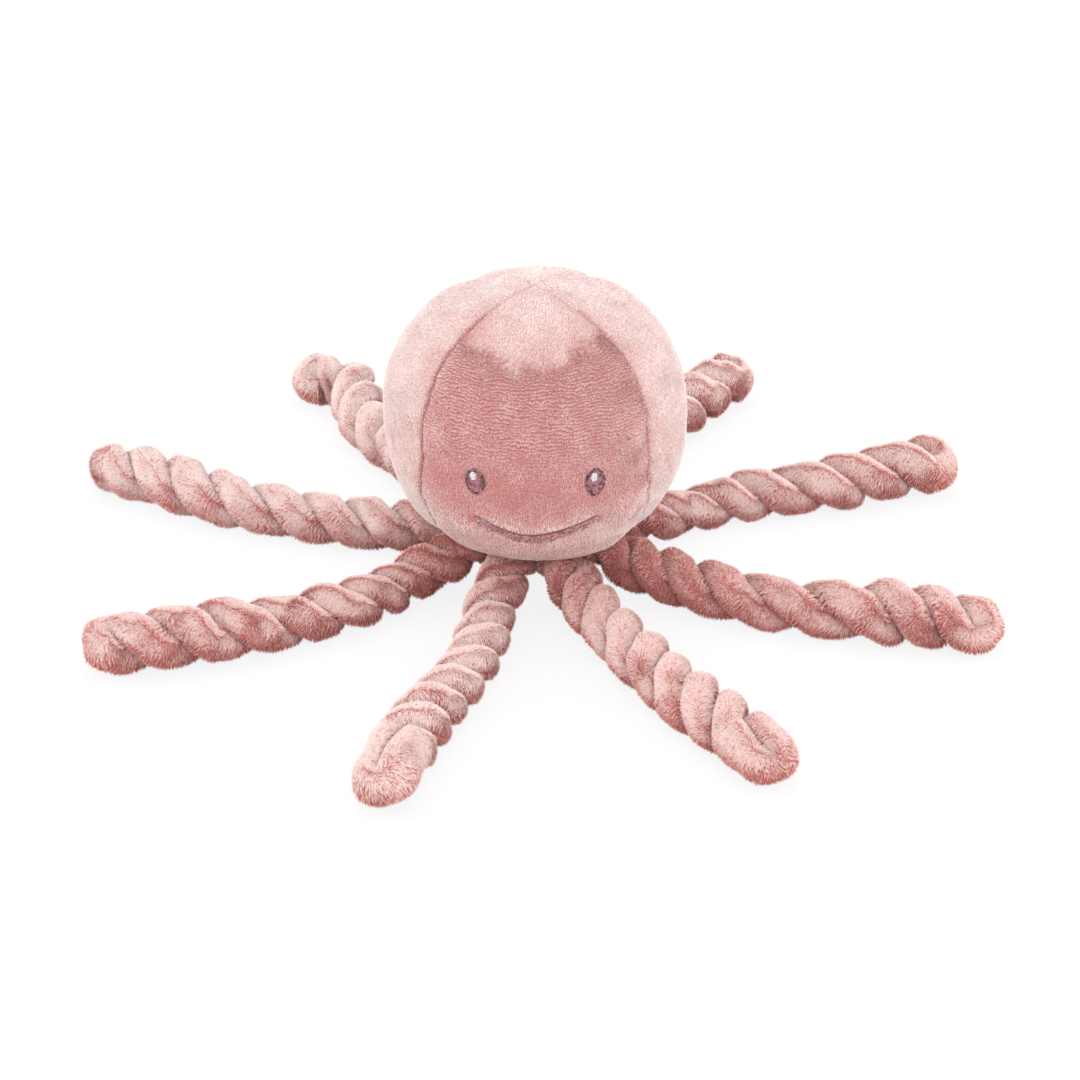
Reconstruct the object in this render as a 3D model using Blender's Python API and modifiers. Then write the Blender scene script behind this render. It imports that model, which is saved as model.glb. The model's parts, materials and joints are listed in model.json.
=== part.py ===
"""Plush octopus: a stuffed head of four sewn panels on a ring of eight twisted rope tentacles.

Metres, +Z up, the face looks along -Y. The origin is on the ground, in the middle of the footprint.
Angles round the head are counted from -Y, where the face is, towards +X.
Angles of the tentacles are counted from +X towards +Y, seen from above.
"""

import math
from dataclasses import dataclass

import bmesh
import bpy
from mathutils import Matrix, Vector

# Head
HEAD_RADIUS = 0.0525
HEAD_HALF_HEIGHT = 0.0482
HEAD_FULLNESS = 2.35
BASE_HEIGHT = 0.0190
BASE_RADIUS = 0.0260
BASE_THICKNESS = 0.0015
PANEL_THICKNESS = 0.0015
CROWN_OPENING = 0.0015
SEAM_DIP = 0.0016
SEAM_DIP_WIDTH = 0.0060
SEAM_CROWN_FADE = 0.0400
SEAM_BASE_FADE = 0.0120
FRONT_SEAM_ANGLE = math.radians(48.8)
FRONT_SEAM_FLARE = math.radians(10.0)
REAR_SEAM_ANGLE = math.radians(139.0)
PANEL_COLUMN_SHARES = (0.0, 0.07, 0.20, 0.36, 0.50, 0.64, 0.80, 0.93, 1.0)
PANEL_ROWS = 12
BASE_SIDES = 32

# Clearance between touching pieces, and between the filling and the panels it fills
GAP = 0.0003
FILLING_CLEARANCE = 0.0004

# Face
EYE_ANGLE = math.radians(22.5)
EYE_DROP = 0.0010
EYE_HALF_WIDTH = 0.0034
EYE_HALF_HEIGHT = 0.0050
EYE_THREAD_RADIUS = 0.0005
EYE_FILL_THICKNESS = 0.0006
HIGHLIGHT_RADIUS = 0.0013
HIGHLIGHT_THICKNESS = 0.0004
HIGHLIGHT_LEFT_OFFSET = 0.0006
HIGHLIGHT_RISE = 0.0022
MOUTH_ANGLE = math.radians(23.0)
MOUTH_CORNER_DROP = 0.0152
MOUTH_MIDDLE_DROP = 0.0214
MOUTH_THREAD_RADIUS = 0.0006
EYE_POINTS = 18
MOUTH_POINTS = 15
PAD_SIDES = 14

# Tentacles: one stuffed tube each, folded in half and twisted on itself
TENTACLE_COUNT = 8
TENTACLE_START = math.radians(24.0)
TENTACLE_LENGTH = 0.1430
ROPE_RADIUS = 0.0105
ROPE_LAY = 0.0310
ROPE_SIDES = 8
GROOVE_DEPTH = 0.0038
FOLD_LENGTH = 0.0090
FOLD_RING_SHARES = (0.35, 0.65, 0.86, 0.97)
ROOT_HALF_WIDTH = 0.0084
ROOT_HALF_HEIGHT = 0.0034
ROOT_TAPER = 0.0200
KNEE_DISTANCE = 0.0150
KNEE_SHARE = 1.10
FLOOR_DISTANCE = 0.0360
FLOOR_FLAT = 0.0005


@dataclass(frozen=True)
class Lie:
    """How one tentacle is twisted and lies.

    The first groove is the side that a groove starts from at the hinge. The headings are turns away
    from straight out, in degrees. They and the shares of the usual thickness hold at the root, the
    quarters and the outer end.
    """

    length_share: float
    lay_share: float
    first_groove: int
    headings: tuple
    width_shares: tuple


LIES = (
    Lie(1.01, 1.16, 3, (3, 7, -13, -3, -10), (0.88, 0.80, 0.91, 1.02, 1.12)),
    Lie(0.98, 1.09, 2, (-1, -4, -17, -15, -18), (0.88, 0.92, 0.98, 1.06, 0.98)),
    Lie(1.04, 1.10, 1, (8, 22, 10, -16, 88), (0.88, 0.90, 0.95, 1.00, 1.00)),
    Lie(1.07, 1.20, 3, (8, 9, 2, -11, 2), (0.88, 0.90, 0.93, 1.02, 1.01)),
    Lie(1.00, 1.05, 3, (0, 18, 0, -9, -22), (0.90, 0.83, 0.90, 1.05, 0.96)),
    Lie(0.95, 0.89, 1, (2, 12, -2, -1, 20), (0.90, 0.88, 0.87, 1.01, 0.98)),
    Lie(0.94, 0.99, 2, (1, 3, 4, 14, 13), (0.90, 0.89, 0.96, 1.00, 0.88)),
    Lie(1.01, 1.17, 3, (-6, -9, 6, 12, 0), (0.90, 0.93, 0.89, 1.07, 0.92)),
)


def head_centre_height():
    """Height of the head's widest level, from the disc that it stands on."""
    share = (1 - (BASE_RADIUS / HEAD_RADIUS) ** HEAD_FULLNESS) ** (1 / HEAD_FULLNESS)
    return BASE_HEIGHT + HEAD_HALF_HEIGHT * share


def smooth_step(share):
    """Ease from 0 to 1."""
    share = min(max(share, 0.0), 1.0)
    return share * share * (3 - 2 * share)


def seam_angles(tilt):
    """The four seams at one level, in order from the front right; the front pair spreads low down."""
    front = FRONT_SEAM_ANGLE + FRONT_SEAM_FLARE * max(-math.cos(tilt), 0.0)
    return (front, REAR_SEAM_ANGLE, math.tau - REAR_SEAM_ANGLE, math.tau - front)


def panel_spans(tilt):
    """First and last angle of each panel at one level, from the front panel round to the left one."""
    seams = seam_angles(tilt)
    return tuple(zip((seams[3] - math.tau, *seams[:3]), seams))


def seam_dip(angle, tilt, ring_radius):
    """How far the surface is drawn in by the nearest seam, fading out at the crown and at the base."""
    turn = min(abs(math.remainder(angle - seam, math.tau)) for seam in seam_angles(tilt))
    if tilt > math.pi / 2:
        fade = smooth_step((ring_radius - BASE_RADIUS) / SEAM_BASE_FADE)
    else:
        fade = smooth_step(ring_radius / SEAM_CROWN_FADE)
    return SEAM_DIP * fade * math.exp(-((turn * ring_radius / SEAM_DIP_WIDTH) ** 2))


def head_point(angle, tilt, lift=0.0):
    """A point of the head about its own centre; tilt runs from 0 at the crown to pi underneath."""
    power = 2 / HEAD_FULLNESS
    ring_radius = HEAD_RADIUS * math.sin(tilt) ** power
    height = HEAD_HALF_HEIGHT * math.copysign(abs(math.cos(tilt)) ** power, math.cos(tilt))
    outward = Vector((math.sin(angle) * math.sin(tilt), -math.cos(angle) * math.sin(tilt), math.cos(tilt)))
    point = Vector((math.sin(angle) * ring_radius, -math.cos(angle) * ring_radius, height))
    return point + outward * (lift - seam_dip(angle, tilt, ring_radius))


def tilt_at_radius(ring_radius):
    """The tilt at which the upper half of the head is this far from its axis."""
    return math.asin((ring_radius / HEAD_RADIUS) ** (HEAD_FULLNESS / 2))


def tilt_at_drop(drop):
    """The tilt of the level that lies this far under the widest level."""
    share = (abs(drop) / HEAD_HALF_HEIGHT) ** (HEAD_FULLNESS / 2)
    return math.acos(-math.copysign(share, drop))


def row_tilts():
    """Levels of the panel rows, from the crown opening to the base."""
    first = tilt_at_radius(CROWN_OPENING)
    last = math.pi - tilt_at_radius(BASE_RADIUS)
    return [first + (last - first) * row / PANEL_ROWS for row in range(PANEL_ROWS + 1)]


def panel_columns(start, end):
    """Angles across one panel, closer together beside its seams."""
    return [start + (end - start) * share for share in PANEL_COLUMN_SHARES]


def make_material(name, colour, roughness):
    """A plain cloth or thread finish."""
    material = bpy.data.materials.new(name)
    material.use_nodes = True
    shader = material.node_tree.nodes["Principled BSDF"]
    shader.inputs["Base Color"].default_value = (*colour, 1.0)
    shader.inputs["Roughness"].default_value = roughness
    shader.inputs["Metallic"].default_value = 0.0
    material.diffuse_color = (*colour, 1.0)
    return material


def add_object(name, mesh, collection, material):
    """Link a mesh as a named, smooth shaded piece with its own finish."""
    mesh.materials.append(material)
    mesh.shade_smooth()
    mesh.set_sharp_from_angle(angle=math.radians(50.0))
    piece = bpy.data.objects.new(name, mesh)
    collection.objects.link(piece)
    return piece


def mesh_from_rows(name, rows, closed_rows, start_cap=False, end_cap=False):
    """A skin over rows of points, each row joined to the next."""
    builder = bmesh.new()
    loops = [[builder.verts.new(point) for point in row] for row in rows]
    for low, high in zip(loops, loops[1:]):
        count = len(low) if closed_rows else len(low) - 1
        for index in range(count):
            after = (index + 1) % len(low)
            builder.faces.new((low[index], low[after], high[after], high[index]))
    if start_cap:
        builder.faces.new(loops[0][::-1])
    if end_cap:
        builder.faces.new(loops[-1])
    mesh = bpy.data.meshes.new(name)
    bmesh.ops.recalc_face_normals(builder, faces=builder.faces)
    builder.to_mesh(mesh)
    builder.free()
    return mesh


def add_shell(piece, thickness, outward):
    """Turn an open surface into cloth of even thickness."""
    shell = piece.modifiers.new("cloth", "SOLIDIFY")
    shell.thickness = thickness
    shell.offset = 1.0 if outward else -1.0


def face_outward(mesh):
    """Turn an open patch of the head so that its faces look away from the head's centre."""
    middle = mesh.polygons[len(mesh.polygons) // 2]
    if middle.normal.dot(middle.center) < 0:
        mesh.flip_normals()


def build_panel(name, order, centre, collection, material):
    """One head panel: a gore from the crown to the base, puffed between its two seams."""
    rows = []
    for tilt in row_tilts():
        start, end = panel_spans(tilt)[order]
        ring_radius = HEAD_RADIUS * math.sin(tilt) ** (2 / HEAD_FULLNESS)
        inset = math.asin(GAP / 2 / ring_radius)
        rows.append([head_point(angle, tilt) for angle in panel_columns(start + inset, end - inset)])
    mesh = mesh_from_rows(name, rows, closed_rows=False)
    face_outward(mesh)
    piece = add_object(name, mesh, collection, material)
    piece.location = centre
    add_shell(piece, PANEL_THICKNESS, outward=False)
    return piece


def build_base(centre, collection, material):
    """The flat disc that closes the head underneath."""
    builder = bmesh.new()
    bmesh.ops.create_cone(
        builder,
        cap_ends=True,
        segments=BASE_SIDES,
        radius1=BASE_RADIUS - PANEL_THICKNESS - GAP,
        radius2=BASE_RADIUS - PANEL_THICKNESS - GAP,
        depth=BASE_THICKNESS,
    )
    mesh = bpy.data.meshes.new("head_base")
    builder.to_mesh(mesh)
    builder.free()
    piece = add_object("head_base", mesh, collection, material)
    piece.location = (centre.x, centre.y, BASE_HEIGHT + BASE_THICKNESS / 2)
    return piece


def build_filling(centre, collection, material):
    """The fibre filling: the inside of the panels, flat where it rests on the base."""
    inset = PANEL_THICKNESS + FILLING_CLEARANCE
    floor = BASE_HEIGHT + BASE_THICKNESS + GAP - centre.z
    rows = []
    for tilt in row_tilts():
        columns = []
        for start, end in panel_spans(tilt):
            columns.extend(panel_columns(start, end)[:-1])
        row = [head_point(angle, tilt, -inset) for angle in columns]
        rows.append([Vector((point.x, point.y, max(point.z, floor))) for point in row])
    mesh = mesh_from_rows("head_filling", rows, closed_rows=True, start_cap=True, end_cap=True)
    piece = add_object("head_filling", mesh, collection, material)
    piece.location = centre
    return piece


def face_patch_point(angle, drop, right, up, lift):
    """A point on the face, a little to the right of and above the place at this angle and drop."""
    return head_point(angle + right / HEAD_RADIUS, tilt_at_drop(drop - up), lift)


def build_pad(name, place, half_size, lift, thickness, centre, collection, material):
    """A flat oval of stitches that follows the face."""
    angle, drop, right, up = place
    rows = []
    for share in (0.5, 1.0):
        row = []
        for step in range(PAD_SIDES):
            turn = math.tau * step / PAD_SIDES
            across = right + half_size[0] * share * math.cos(turn)
            above = up + half_size[1] * share * math.sin(turn)
            row.append(face_patch_point(angle, drop, across, above, lift))
        rows.append(row)
    mesh = mesh_from_rows(name, rows, closed_rows=True, start_cap=True)
    face_outward(mesh)
    piece = add_object(name, mesh, collection, material)
    piece.location = centre
    add_shell(piece, thickness, outward=True)
    return piece


def build_thread(name, points, radius, closed, centre, collection, material):
    """A laid thread: a tube along points on the face."""
    curve = bpy.data.curves.new(name, "CURVE")
    curve.dimensions = "3D"
    curve.bevel_depth = radius
    curve.bevel_resolution = 1
    curve.use_fill_caps = not closed
    spline = curve.splines.new("POLY")
    spline.points.add(len(points) - 1)
    for target, point in zip(spline.points, points):
        target.co = (*point, 1.0)
    spline.use_cyclic_u = closed
    spline.use_smooth = True
    curve.materials.append(material)
    piece = bpy.data.objects.new(name, curve)
    collection.objects.link(piece)
    piece.location = centre
    return piece


def build_eye(side, angle, centre, collection):
    """One embroidered eye: an outline of chain stitch, a satin fill and a pale highlight."""
    dark_thread = make_material(f"thread_dark_mauve_{side}", (0.17, 0.06, 0.08), 0.6)
    fill_thread = make_material(f"thread_mauve_{side}", (0.38, 0.16, 0.20), 0.5)
    pale_thread = make_material(f"thread_pale_{side}", (0.75, 0.72, 0.73), 0.5)

    outline = []
    for step in range(EYE_POINTS):
        turn = math.tau * step / EYE_POINTS
        right = (EYE_HALF_WIDTH - EYE_THREAD_RADIUS) * math.cos(turn)
        above = (EYE_HALF_HEIGHT - EYE_THREAD_RADIUS) * math.sin(turn)
        outline.append(face_patch_point(angle, EYE_DROP, right, above, GAP + EYE_THREAD_RADIUS))
    name = f"eye_outline_{side}"
    build_thread(name, outline, EYE_THREAD_RADIUS, True, centre, collection, dark_thread)

    border = EYE_THREAD_RADIUS * 2 + GAP
    fill_size = (EYE_HALF_WIDTH - border, EYE_HALF_HEIGHT - border)
    place = (angle, EYE_DROP, 0.0, 0.0)
    name = f"eye_fill_{side}"
    build_pad(name, place, fill_size, GAP, EYE_FILL_THICKNESS, centre, collection, fill_thread)

    lift = GAP + EYE_FILL_THICKNESS + GAP
    place = (angle, EYE_DROP, -HIGHLIGHT_LEFT_OFFSET, HIGHLIGHT_RISE)
    size = (HIGHLIGHT_RADIUS, HIGHLIGHT_RADIUS)
    name = f"eye_highlight_{side}"
    build_pad(name, place, size, lift, HIGHLIGHT_THICKNESS, centre, collection, pale_thread)


def build_mouth(centre, collection, material):
    """The smile: one run of thread, lowest in the middle."""
    points = []
    for step in range(MOUTH_POINTS):
        share = 2 * step / (MOUTH_POINTS - 1) - 1
        drop = MOUTH_MIDDLE_DROP + (MOUTH_CORNER_DROP - MOUTH_MIDDLE_DROP) * share**2
        points.append(head_point(MOUTH_ANGLE * share, tilt_at_drop(drop), GAP + MOUTH_THREAD_RADIUS))
    build_thread("mouth", points, MOUTH_THREAD_RADIUS, False, centre, collection, material)


def eased(values, share):
    """A value this far along a tentacle, eased between its values at the root, the quarters and the end."""
    spans = len(values) - 1
    index = min(int(share * spans), spans - 1)
    return values[index] + (values[index + 1] - values[index]) * smooth_step(share * spans - index)


def rope_radius(lie, distance):
    """Radius of the twisted pair this far along it."""
    return ROPE_RADIUS * eased(lie.width_shares, distance / (TENTACLE_LENGTH * lie.length_share))


def centre_height(lie, distance):
    """Height of the rope's centre line over the ground, this far along it."""
    radius = rope_radius(lie, distance)
    root = BASE_HEIGHT - GAP - ROOT_HALF_HEIGHT
    knee = radius * KNEE_SHARE
    floor = radius - FLOOR_FLAT
    if distance < KNEE_DISTANCE:
        return root + (knee - root) * smooth_step(distance / KNEE_DISTANCE)
    ease = smooth_step((distance - KNEE_DISTANCE) / (FLOOR_DISTANCE - KNEE_DISTANCE))
    return knee + (floor - knee) * ease


def ring_distances(lie, length):
    """Where along the rope its rings lie: eight to a turn, closer together round the fold."""
    step = ROPE_LAY * lie.lay_share / ROPE_SIDES
    straight = length - FOLD_LENGTH
    distances = [step * index for index in range(int(straight / step) + 1)]
    return distances + [straight + FOLD_LENGTH * share for share in FOLD_RING_SHARES]


def rope_frames(lie):
    """Centre, sideways and upward directions of each ring, from the hinge, +X straight out."""
    length = TENTACLE_LENGTH * lie.length_share
    distances = ring_distances(lie, length)
    place = Vector((0.0, 0.0, 0.0))
    last = 0.0
    frames = []
    for distance in distances:
        heading = math.radians(eased(lie.headings, (last + distance) / 2 / length))
        place = place + Vector((math.cos(heading), math.sin(heading), 0.0)) * (distance - last)
        last = distance
        frames.append(Vector((place.x, place.y, centre_height(lie, distance) - BASE_HEIGHT)))
    rings = []
    for index, (distance, centre) in enumerate(zip(distances, frames)):
        before = frames[max(index - 1, 0)]
        after = frames[min(index + 1, len(frames) - 1)]
        forward = (after - before).normalized()
        sideways = Vector((0.0, 0.0, 1.0)).cross(forward).normalized()
        rings.append((distance, centre, sideways, forward.cross(sideways)))
    return length, rings


def rope_ring(index, ring, lie, length):
    """One section of the twisted pair: two full strands with a groove between them on each side."""
    distance, centre, sideways, upward = ring
    radius = rope_radius(lie, distance)
    grown = math.sin(min(distance / ROOT_TAPER, 1.0) * math.pi / 2)
    past_fold = max(distance - (length - FOLD_LENGTH), 0.0) / FOLD_LENGTH
    closing = math.sqrt(1 - past_fold**2)
    half_width = (ROOT_HALF_WIDTH + (radius - ROOT_HALF_WIDTH) * grown) * closing
    half_height = (ROOT_HALF_HEIGHT + (radius - ROOT_HALF_HEIGHT) * grown) * closing
    groove = 1 - GROOVE_DEPTH / ROPE_RADIUS * grown * closing
    points = []
    for side in range(ROPE_SIDES):
        turn = math.tau * side / ROPE_SIDES - math.pi / 2
        in_groove = (side - index - lie.first_groove) % (ROPE_SIDES // 2) == 0
        share = groove if in_groove else 1.0
        across = sideways * (half_width * share * math.cos(turn))
        points.append(centre + across + upward * (half_height * share * math.sin(turn)))
    return points


def split_along_twist(builder, rings):
    """Split each side face from groove to groove, so that the grooves run on without a break."""
    for low, high in zip(rings, rings[1:]):
        for side in range(ROPE_SIDES):
            after = (side + 1) % ROPE_SIDES
            builder.faces.new((low[side], low[after], high[after]))
            builder.faces.new((low[side], high[after], high[side]))


def build_tentacle(number, angle, lie, hinge, collection, material):
    """One tentacle, with its origin on the seam that it bends at, cut flat where it rests."""
    length, frames = rope_frames(lie)
    builder = bmesh.new()
    rings = []
    for index, ring in enumerate(frames):
        rings.append([builder.verts.new(point) for point in rope_ring(index, ring, lie, length)])
    split_along_twist(builder, rings)
    builder.faces.new(rings[0][::-1])
    builder.faces.new(rings[-1])
    everything = builder.verts[:] + builder.edges[:] + builder.faces[:]
    ground = (0.0, 0.0, -BASE_HEIGHT)
    cut = bmesh.ops.bisect_plane(builder, geom=everything, plane_co=ground, plane_no=(0, 0, -1), clear_outer=True)
    rim = [item for item in cut["geom_cut"] if isinstance(item, bmesh.types.BMEdge)]
    bmesh.ops.holes_fill(builder, edges=rim, sides=0)
    bmesh.ops.recalc_face_normals(builder, faces=builder.faces)
    mesh = bpy.data.meshes.new(f"tentacle_{number}")
    builder.to_mesh(mesh)
    builder.free()
    piece = add_object(f"tentacle_{number}", mesh, collection, material)
    piece.location = hinge
    piece.rotation_euler = (0.0, 0.0, angle)
    return piece


def tentacle_angle(index):
    """Direction in which a tentacle leaves the head."""
    return TENTACLE_START + math.tau * index / TENTACLE_COUNT


def hinge_place(axis_place, angle):
    """The point of the base seam that a tentacle bends at."""
    return axis_place + Vector((math.cos(angle), math.sin(angle), 0.0)) * BASE_RADIUS


def footprint_middle():
    """Middle of the ground that the tentacles cover, seen from the head's axis."""
    reach = []
    for index, lie in enumerate(LIES):
        angle = tentacle_angle(index)
        turned = Matrix.Rotation(angle, 3, "Z")
        hinge = hinge_place(Vector((0.0, 0.0, 0.0)), angle)
        reach.extend(hinge + turned @ ring[1] for ring in rope_frames(lie)[1])
    across = [place.x for place in reach]
    along = [place.y for place in reach]
    return Vector(((min(across) + max(across)) / 2, (min(along) + max(along)) / 2, 0.0))


def build_head(axis_place, collection):
    """Panels, base, filling and face."""
    centre = axis_place + Vector((0.0, 0.0, head_centre_height()))
    for order, side in enumerate(("front", "right", "rear", "left")):
        plush = make_material(f"plush_{side}", (0.62, 0.33, 0.30), 0.95)
        build_panel(f"head_panel_{side}", order, centre, collection, plush)
    build_base(centre, collection, make_material("plush_base", (0.60, 0.32, 0.29), 0.95))
    build_filling(centre, collection, make_material("polyester_fibre", (0.86, 0.85, 0.83), 1.0))
    build_eye("left", -EYE_ANGLE, centre, collection)
    build_eye("right", EYE_ANGLE, centre, collection)
    build_mouth(centre, collection, make_material("thread_smile", (0.45, 0.20, 0.23), 0.5))


def build_tentacles(axis_place, collection):
    """The ring of eight tentacles."""
    seam_level = axis_place + Vector((0.0, 0.0, BASE_HEIGHT))
    for index, lie in enumerate(LIES):
        angle = tentacle_angle(index)
        material = make_material(f"fleece_{index + 1}", (0.72, 0.41, 0.36), 0.95)
        build_tentacle(index + 1, angle, lie, hinge_place(seam_level, angle), collection, material)


def main():
    """Clear the scene and build the octopus."""
    for old in list(bpy.data.objects):
        bpy.data.objects.remove(old, do_unlink=True)
    collection = bpy.data.collections.new("plush_octopus")
    bpy.context.scene.collection.children.link(collection)
    axis_place = -footprint_middle()
    build_head(axis_place, collection)
    build_tentacles(axis_place, collection)


main()
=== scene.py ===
"""Plush octopus: a velour head with a stitched face on eight twisted fleece tentacles.

Metres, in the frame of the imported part: +Z up, the face looks along -Y and the ground is at zero.
Angles round the head are counted from -Y, where the face is, towards +X.
Angles of the tentacles are counted from +X towards +Y, seen from above.
"""

import json
import logging
import math
from dataclasses import dataclass, field
from enum import Enum, IntEnum
from typing import Any

import bpy
import numpy as np
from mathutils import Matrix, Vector


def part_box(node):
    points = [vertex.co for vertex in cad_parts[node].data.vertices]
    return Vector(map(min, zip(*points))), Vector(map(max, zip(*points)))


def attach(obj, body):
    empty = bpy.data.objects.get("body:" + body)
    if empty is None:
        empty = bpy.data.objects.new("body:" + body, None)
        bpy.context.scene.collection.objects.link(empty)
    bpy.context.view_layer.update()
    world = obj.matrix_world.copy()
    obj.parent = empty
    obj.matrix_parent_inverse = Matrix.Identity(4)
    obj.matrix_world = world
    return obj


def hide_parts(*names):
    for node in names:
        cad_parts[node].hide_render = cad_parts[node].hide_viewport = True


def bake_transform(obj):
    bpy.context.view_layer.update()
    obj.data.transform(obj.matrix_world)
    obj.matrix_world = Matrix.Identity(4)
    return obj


LOG = logging.getLogger("plush_octopus")
Array = np.ndarray
Tree = bpy.types.NodeTree
Socket = bpy.types.NodeSocket
Material = bpy.types.Material
Piece = bpy.types.Object

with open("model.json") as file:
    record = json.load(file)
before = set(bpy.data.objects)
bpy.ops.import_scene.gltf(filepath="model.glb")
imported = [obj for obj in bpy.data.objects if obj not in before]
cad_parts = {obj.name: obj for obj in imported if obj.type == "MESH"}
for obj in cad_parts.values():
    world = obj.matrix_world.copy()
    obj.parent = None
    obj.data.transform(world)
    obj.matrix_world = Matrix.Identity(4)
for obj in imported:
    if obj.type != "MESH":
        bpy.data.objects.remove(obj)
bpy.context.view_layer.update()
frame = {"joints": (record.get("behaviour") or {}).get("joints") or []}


class Seed(IntEnum):
    """Seeds of all that is uneven. Tentacles and panels count on from the ones that they share."""

    PUCKERS = 3
    HEAD_LUMPS = 4
    BASE_GATHERS = 5
    SATIN = 11
    SMILE = 12
    CHAIN = 13
    HEAP = 14
    DASHES = 17
    ROPE_LUMPS = 30
    NAP_FRAY = 41
    NAP_STRANDS = 42
    RIB_BREAKS = 43
    RIB_WAVES = 44
    LOCK_BREAKS = 45
    PINCHES = 46
    SWERVES = 47
    PATCHES = 48
    RIDGE_WAVES = 60
    RIDGE_BREAKS = 80
    OPENINGS = 90
    FLEECE_TUFTS = 100
    VELOUR_TUFTS = 200


class Gore(IntEnum):
    """The four panels of the head, counted from the front one to the right."""

    FRONT = 0
    RIGHT = 1
    REAR = 2
    LEFT = 3

    @property
    def side(self) -> str:
        """Which way the panel looks, as its pieces and nodes say it."""
        return self.name.lower()


@dataclass(frozen=True)
class WaveNoise:
    """Smooth seeded noise in space, about -2 to 2: waves of near lengths in all directions."""

    wavelength: float
    seed: int
    waves: int = 20
    length_shares: tuple[float, float] = (0.7, 1.6)

    def at(self, points: Array) -> Array:
        """Value of the noise.

        Args:
            points: Places in metres, with x, y and z last.

        Returns:
            One value for each place.
        """
        dice = np.random.default_rng(self.seed)
        directions = dice.normal(size=(self.waves, 3))
        directions /= np.linalg.norm(directions, axis=1, keepdims=True)
        lengths = self.wavelength * dice.uniform(*self.length_shares, self.waves)
        vectors, phases = directions / lengths[:, None] * math.tau, dice.uniform(0.0, math.tau, self.waves)
        return np.cos(points @ vectors.T + phases).sum(axis=-1) * math.sqrt(2 / self.waves)


def smooth_step(share: Array) -> Array:
    """Ease from 0 to 1."""
    share = np.clip(share, 0.0, 1.0)
    return share * share * (3 - 2 * share)


def bell(share: Array) -> Array:
    """Fall smoothly away from 1 on both sides of zero."""
    return np.exp(-(share**2))


def signed_turn(angle: Array) -> Array:
    """The same angle, between half a turn back and half a turn on."""
    return np.remainder(angle + math.pi, math.tau) - math.pi


def unit(vectors: Array) -> Array:
    """Vectors of length 1 with the same directions."""
    return vectors / np.maximum(np.linalg.norm(vectors, axis=-1, keepdims=True), 1e-12)


def linear_colour(hex_value: str) -> tuple[float, float, float, float]:
    """Turn an sRGB hex colour into the linear colour that a shader takes.

    Args:
        hex_value: The colour as it is seen, such as "#C98C86".

    Returns:
        Red, green, blue and an alpha of 1.
    """
    channels = [int(hex_value[at : at + 2], 16) / 255 for at in (1, 3, 5)]
    linear = [value / 12.92 if value <= 0.04045 else ((value + 0.055) / 1.055) ** 2.4 for value in channels]
    return (*linear, 1.0)


def add_node(
    tree: Tree,
    kind: str,
    inputs: dict[Any, Any] | None = None,
    stops: dict[float, str] | None = None,
    **settings: Any,
) -> bpy.types.Node:
    """Add one shader node with its settings and its links.

    Args:
        tree: The node tree.
        kind: The node's type, without the words that all types begin with.
        inputs: Input sockets by name or number, each with a value or with the socket to link from.
        stops: Places along a ramp and the hex colour at each, in order.
        **settings: The node's own properties.

    Returns:
        The new node.
    """
    node = tree.nodes.new(f"ShaderNode{kind}")
    for name, value in settings.items():
        setattr(node, name, value)
    for key, value in (inputs or {}).items():
        if isinstance(value, Socket):
            tree.links.new(value, node.inputs[key])
        else:
            node.inputs[key].default_value = value
    for number, (place, colour) in enumerate((stops or {}).items()):
        elements = node.color_ramp.elements
        element = elements[number] if number < len(elements) else elements.new(place)
        element.position = place
        element.color = linear_colour(colour)
    return node


def new_material(name: str) -> tuple[Material, Tree]:
    """Start a material with an empty node tree.

    Args:
        name: The material's name.

    Returns:
        The material and its tree.
    """
    material = bpy.data.materials.new(name)
    material.use_nodes = True
    material.node_tree.nodes.clear()
    return material, material.node_tree


@dataclass(frozen=True, kw_only=True)
class TextileFinish:
    """What all the textiles share: a name, how they take the light, and one shader."""

    name: str
    roughness: float = 0.9
    specular: float = 0.5
    sheen: float = 0.0

    def look(self, tree: Tree) -> dict[str, Any]:
        """The shader's sockets that the textile's own pattern sets."""
        raise NotImplementedError

    def build(self) -> Material:
        """Make the material.

        Returns:
            The material.
        """
        material, tree = new_material(self.name)
        inputs = {
            "Roughness": self.roughness,
            "Specular IOR Level": self.specular,
            "Sheen Weight": self.sheen,
            **self.look(tree),
        }
        shader = add_node(tree, "BsdfPrincipled", inputs)
        add_node(tree, "OutputMaterial", {"Surface": shader.outputs["BSDF"]})
        return material


@dataclass(frozen=True, kw_only=True)
class YarnFinish(TextileFinish):
    """Knitted loops, plies or strands of a real size, which show as relief and in the colour, deep with
    painted shade where the relief is low.
    """

    deep: str
    body: str
    pitch: float
    relief: float
    stops: tuple[float, float] = (0.35, 0.65)
    detail: float = 3.0
    distortion: float = 0.0

    def colour(self, tree: Tree, yarn: Socket) -> Socket:
        """Colour of the textile, with painted shade deep in the hollows between its yarns."""
        stops = dict(zip(self.stops, (self.deep, self.body)))
        return add_node(tree, "ValToRGB", {"Fac": yarn}, stops).outputs["Color"]

    def look(self, tree: Tree) -> dict[str, Any]:
        """Lay the yarns.

        Args:
            tree: The material's node tree.

        Returns:
            The shader's colour and relief.
        """
        place = add_node(tree, "TexCoord").outputs["Object"]
        cells = {"Vector": place, "Scale": 1 / self.pitch, "Detail": self.detail}
        yarn = add_node(tree, "TexNoise", {**cells, "Distortion": self.distortion}).outputs["Fac"]
        relief = add_node(tree, "Bump", {"Height": yarn, "Distance": self.relief}).outputs["Normal"]
        return {"Base Color": self.colour(tree, yarn), "Normal": relief}


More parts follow.
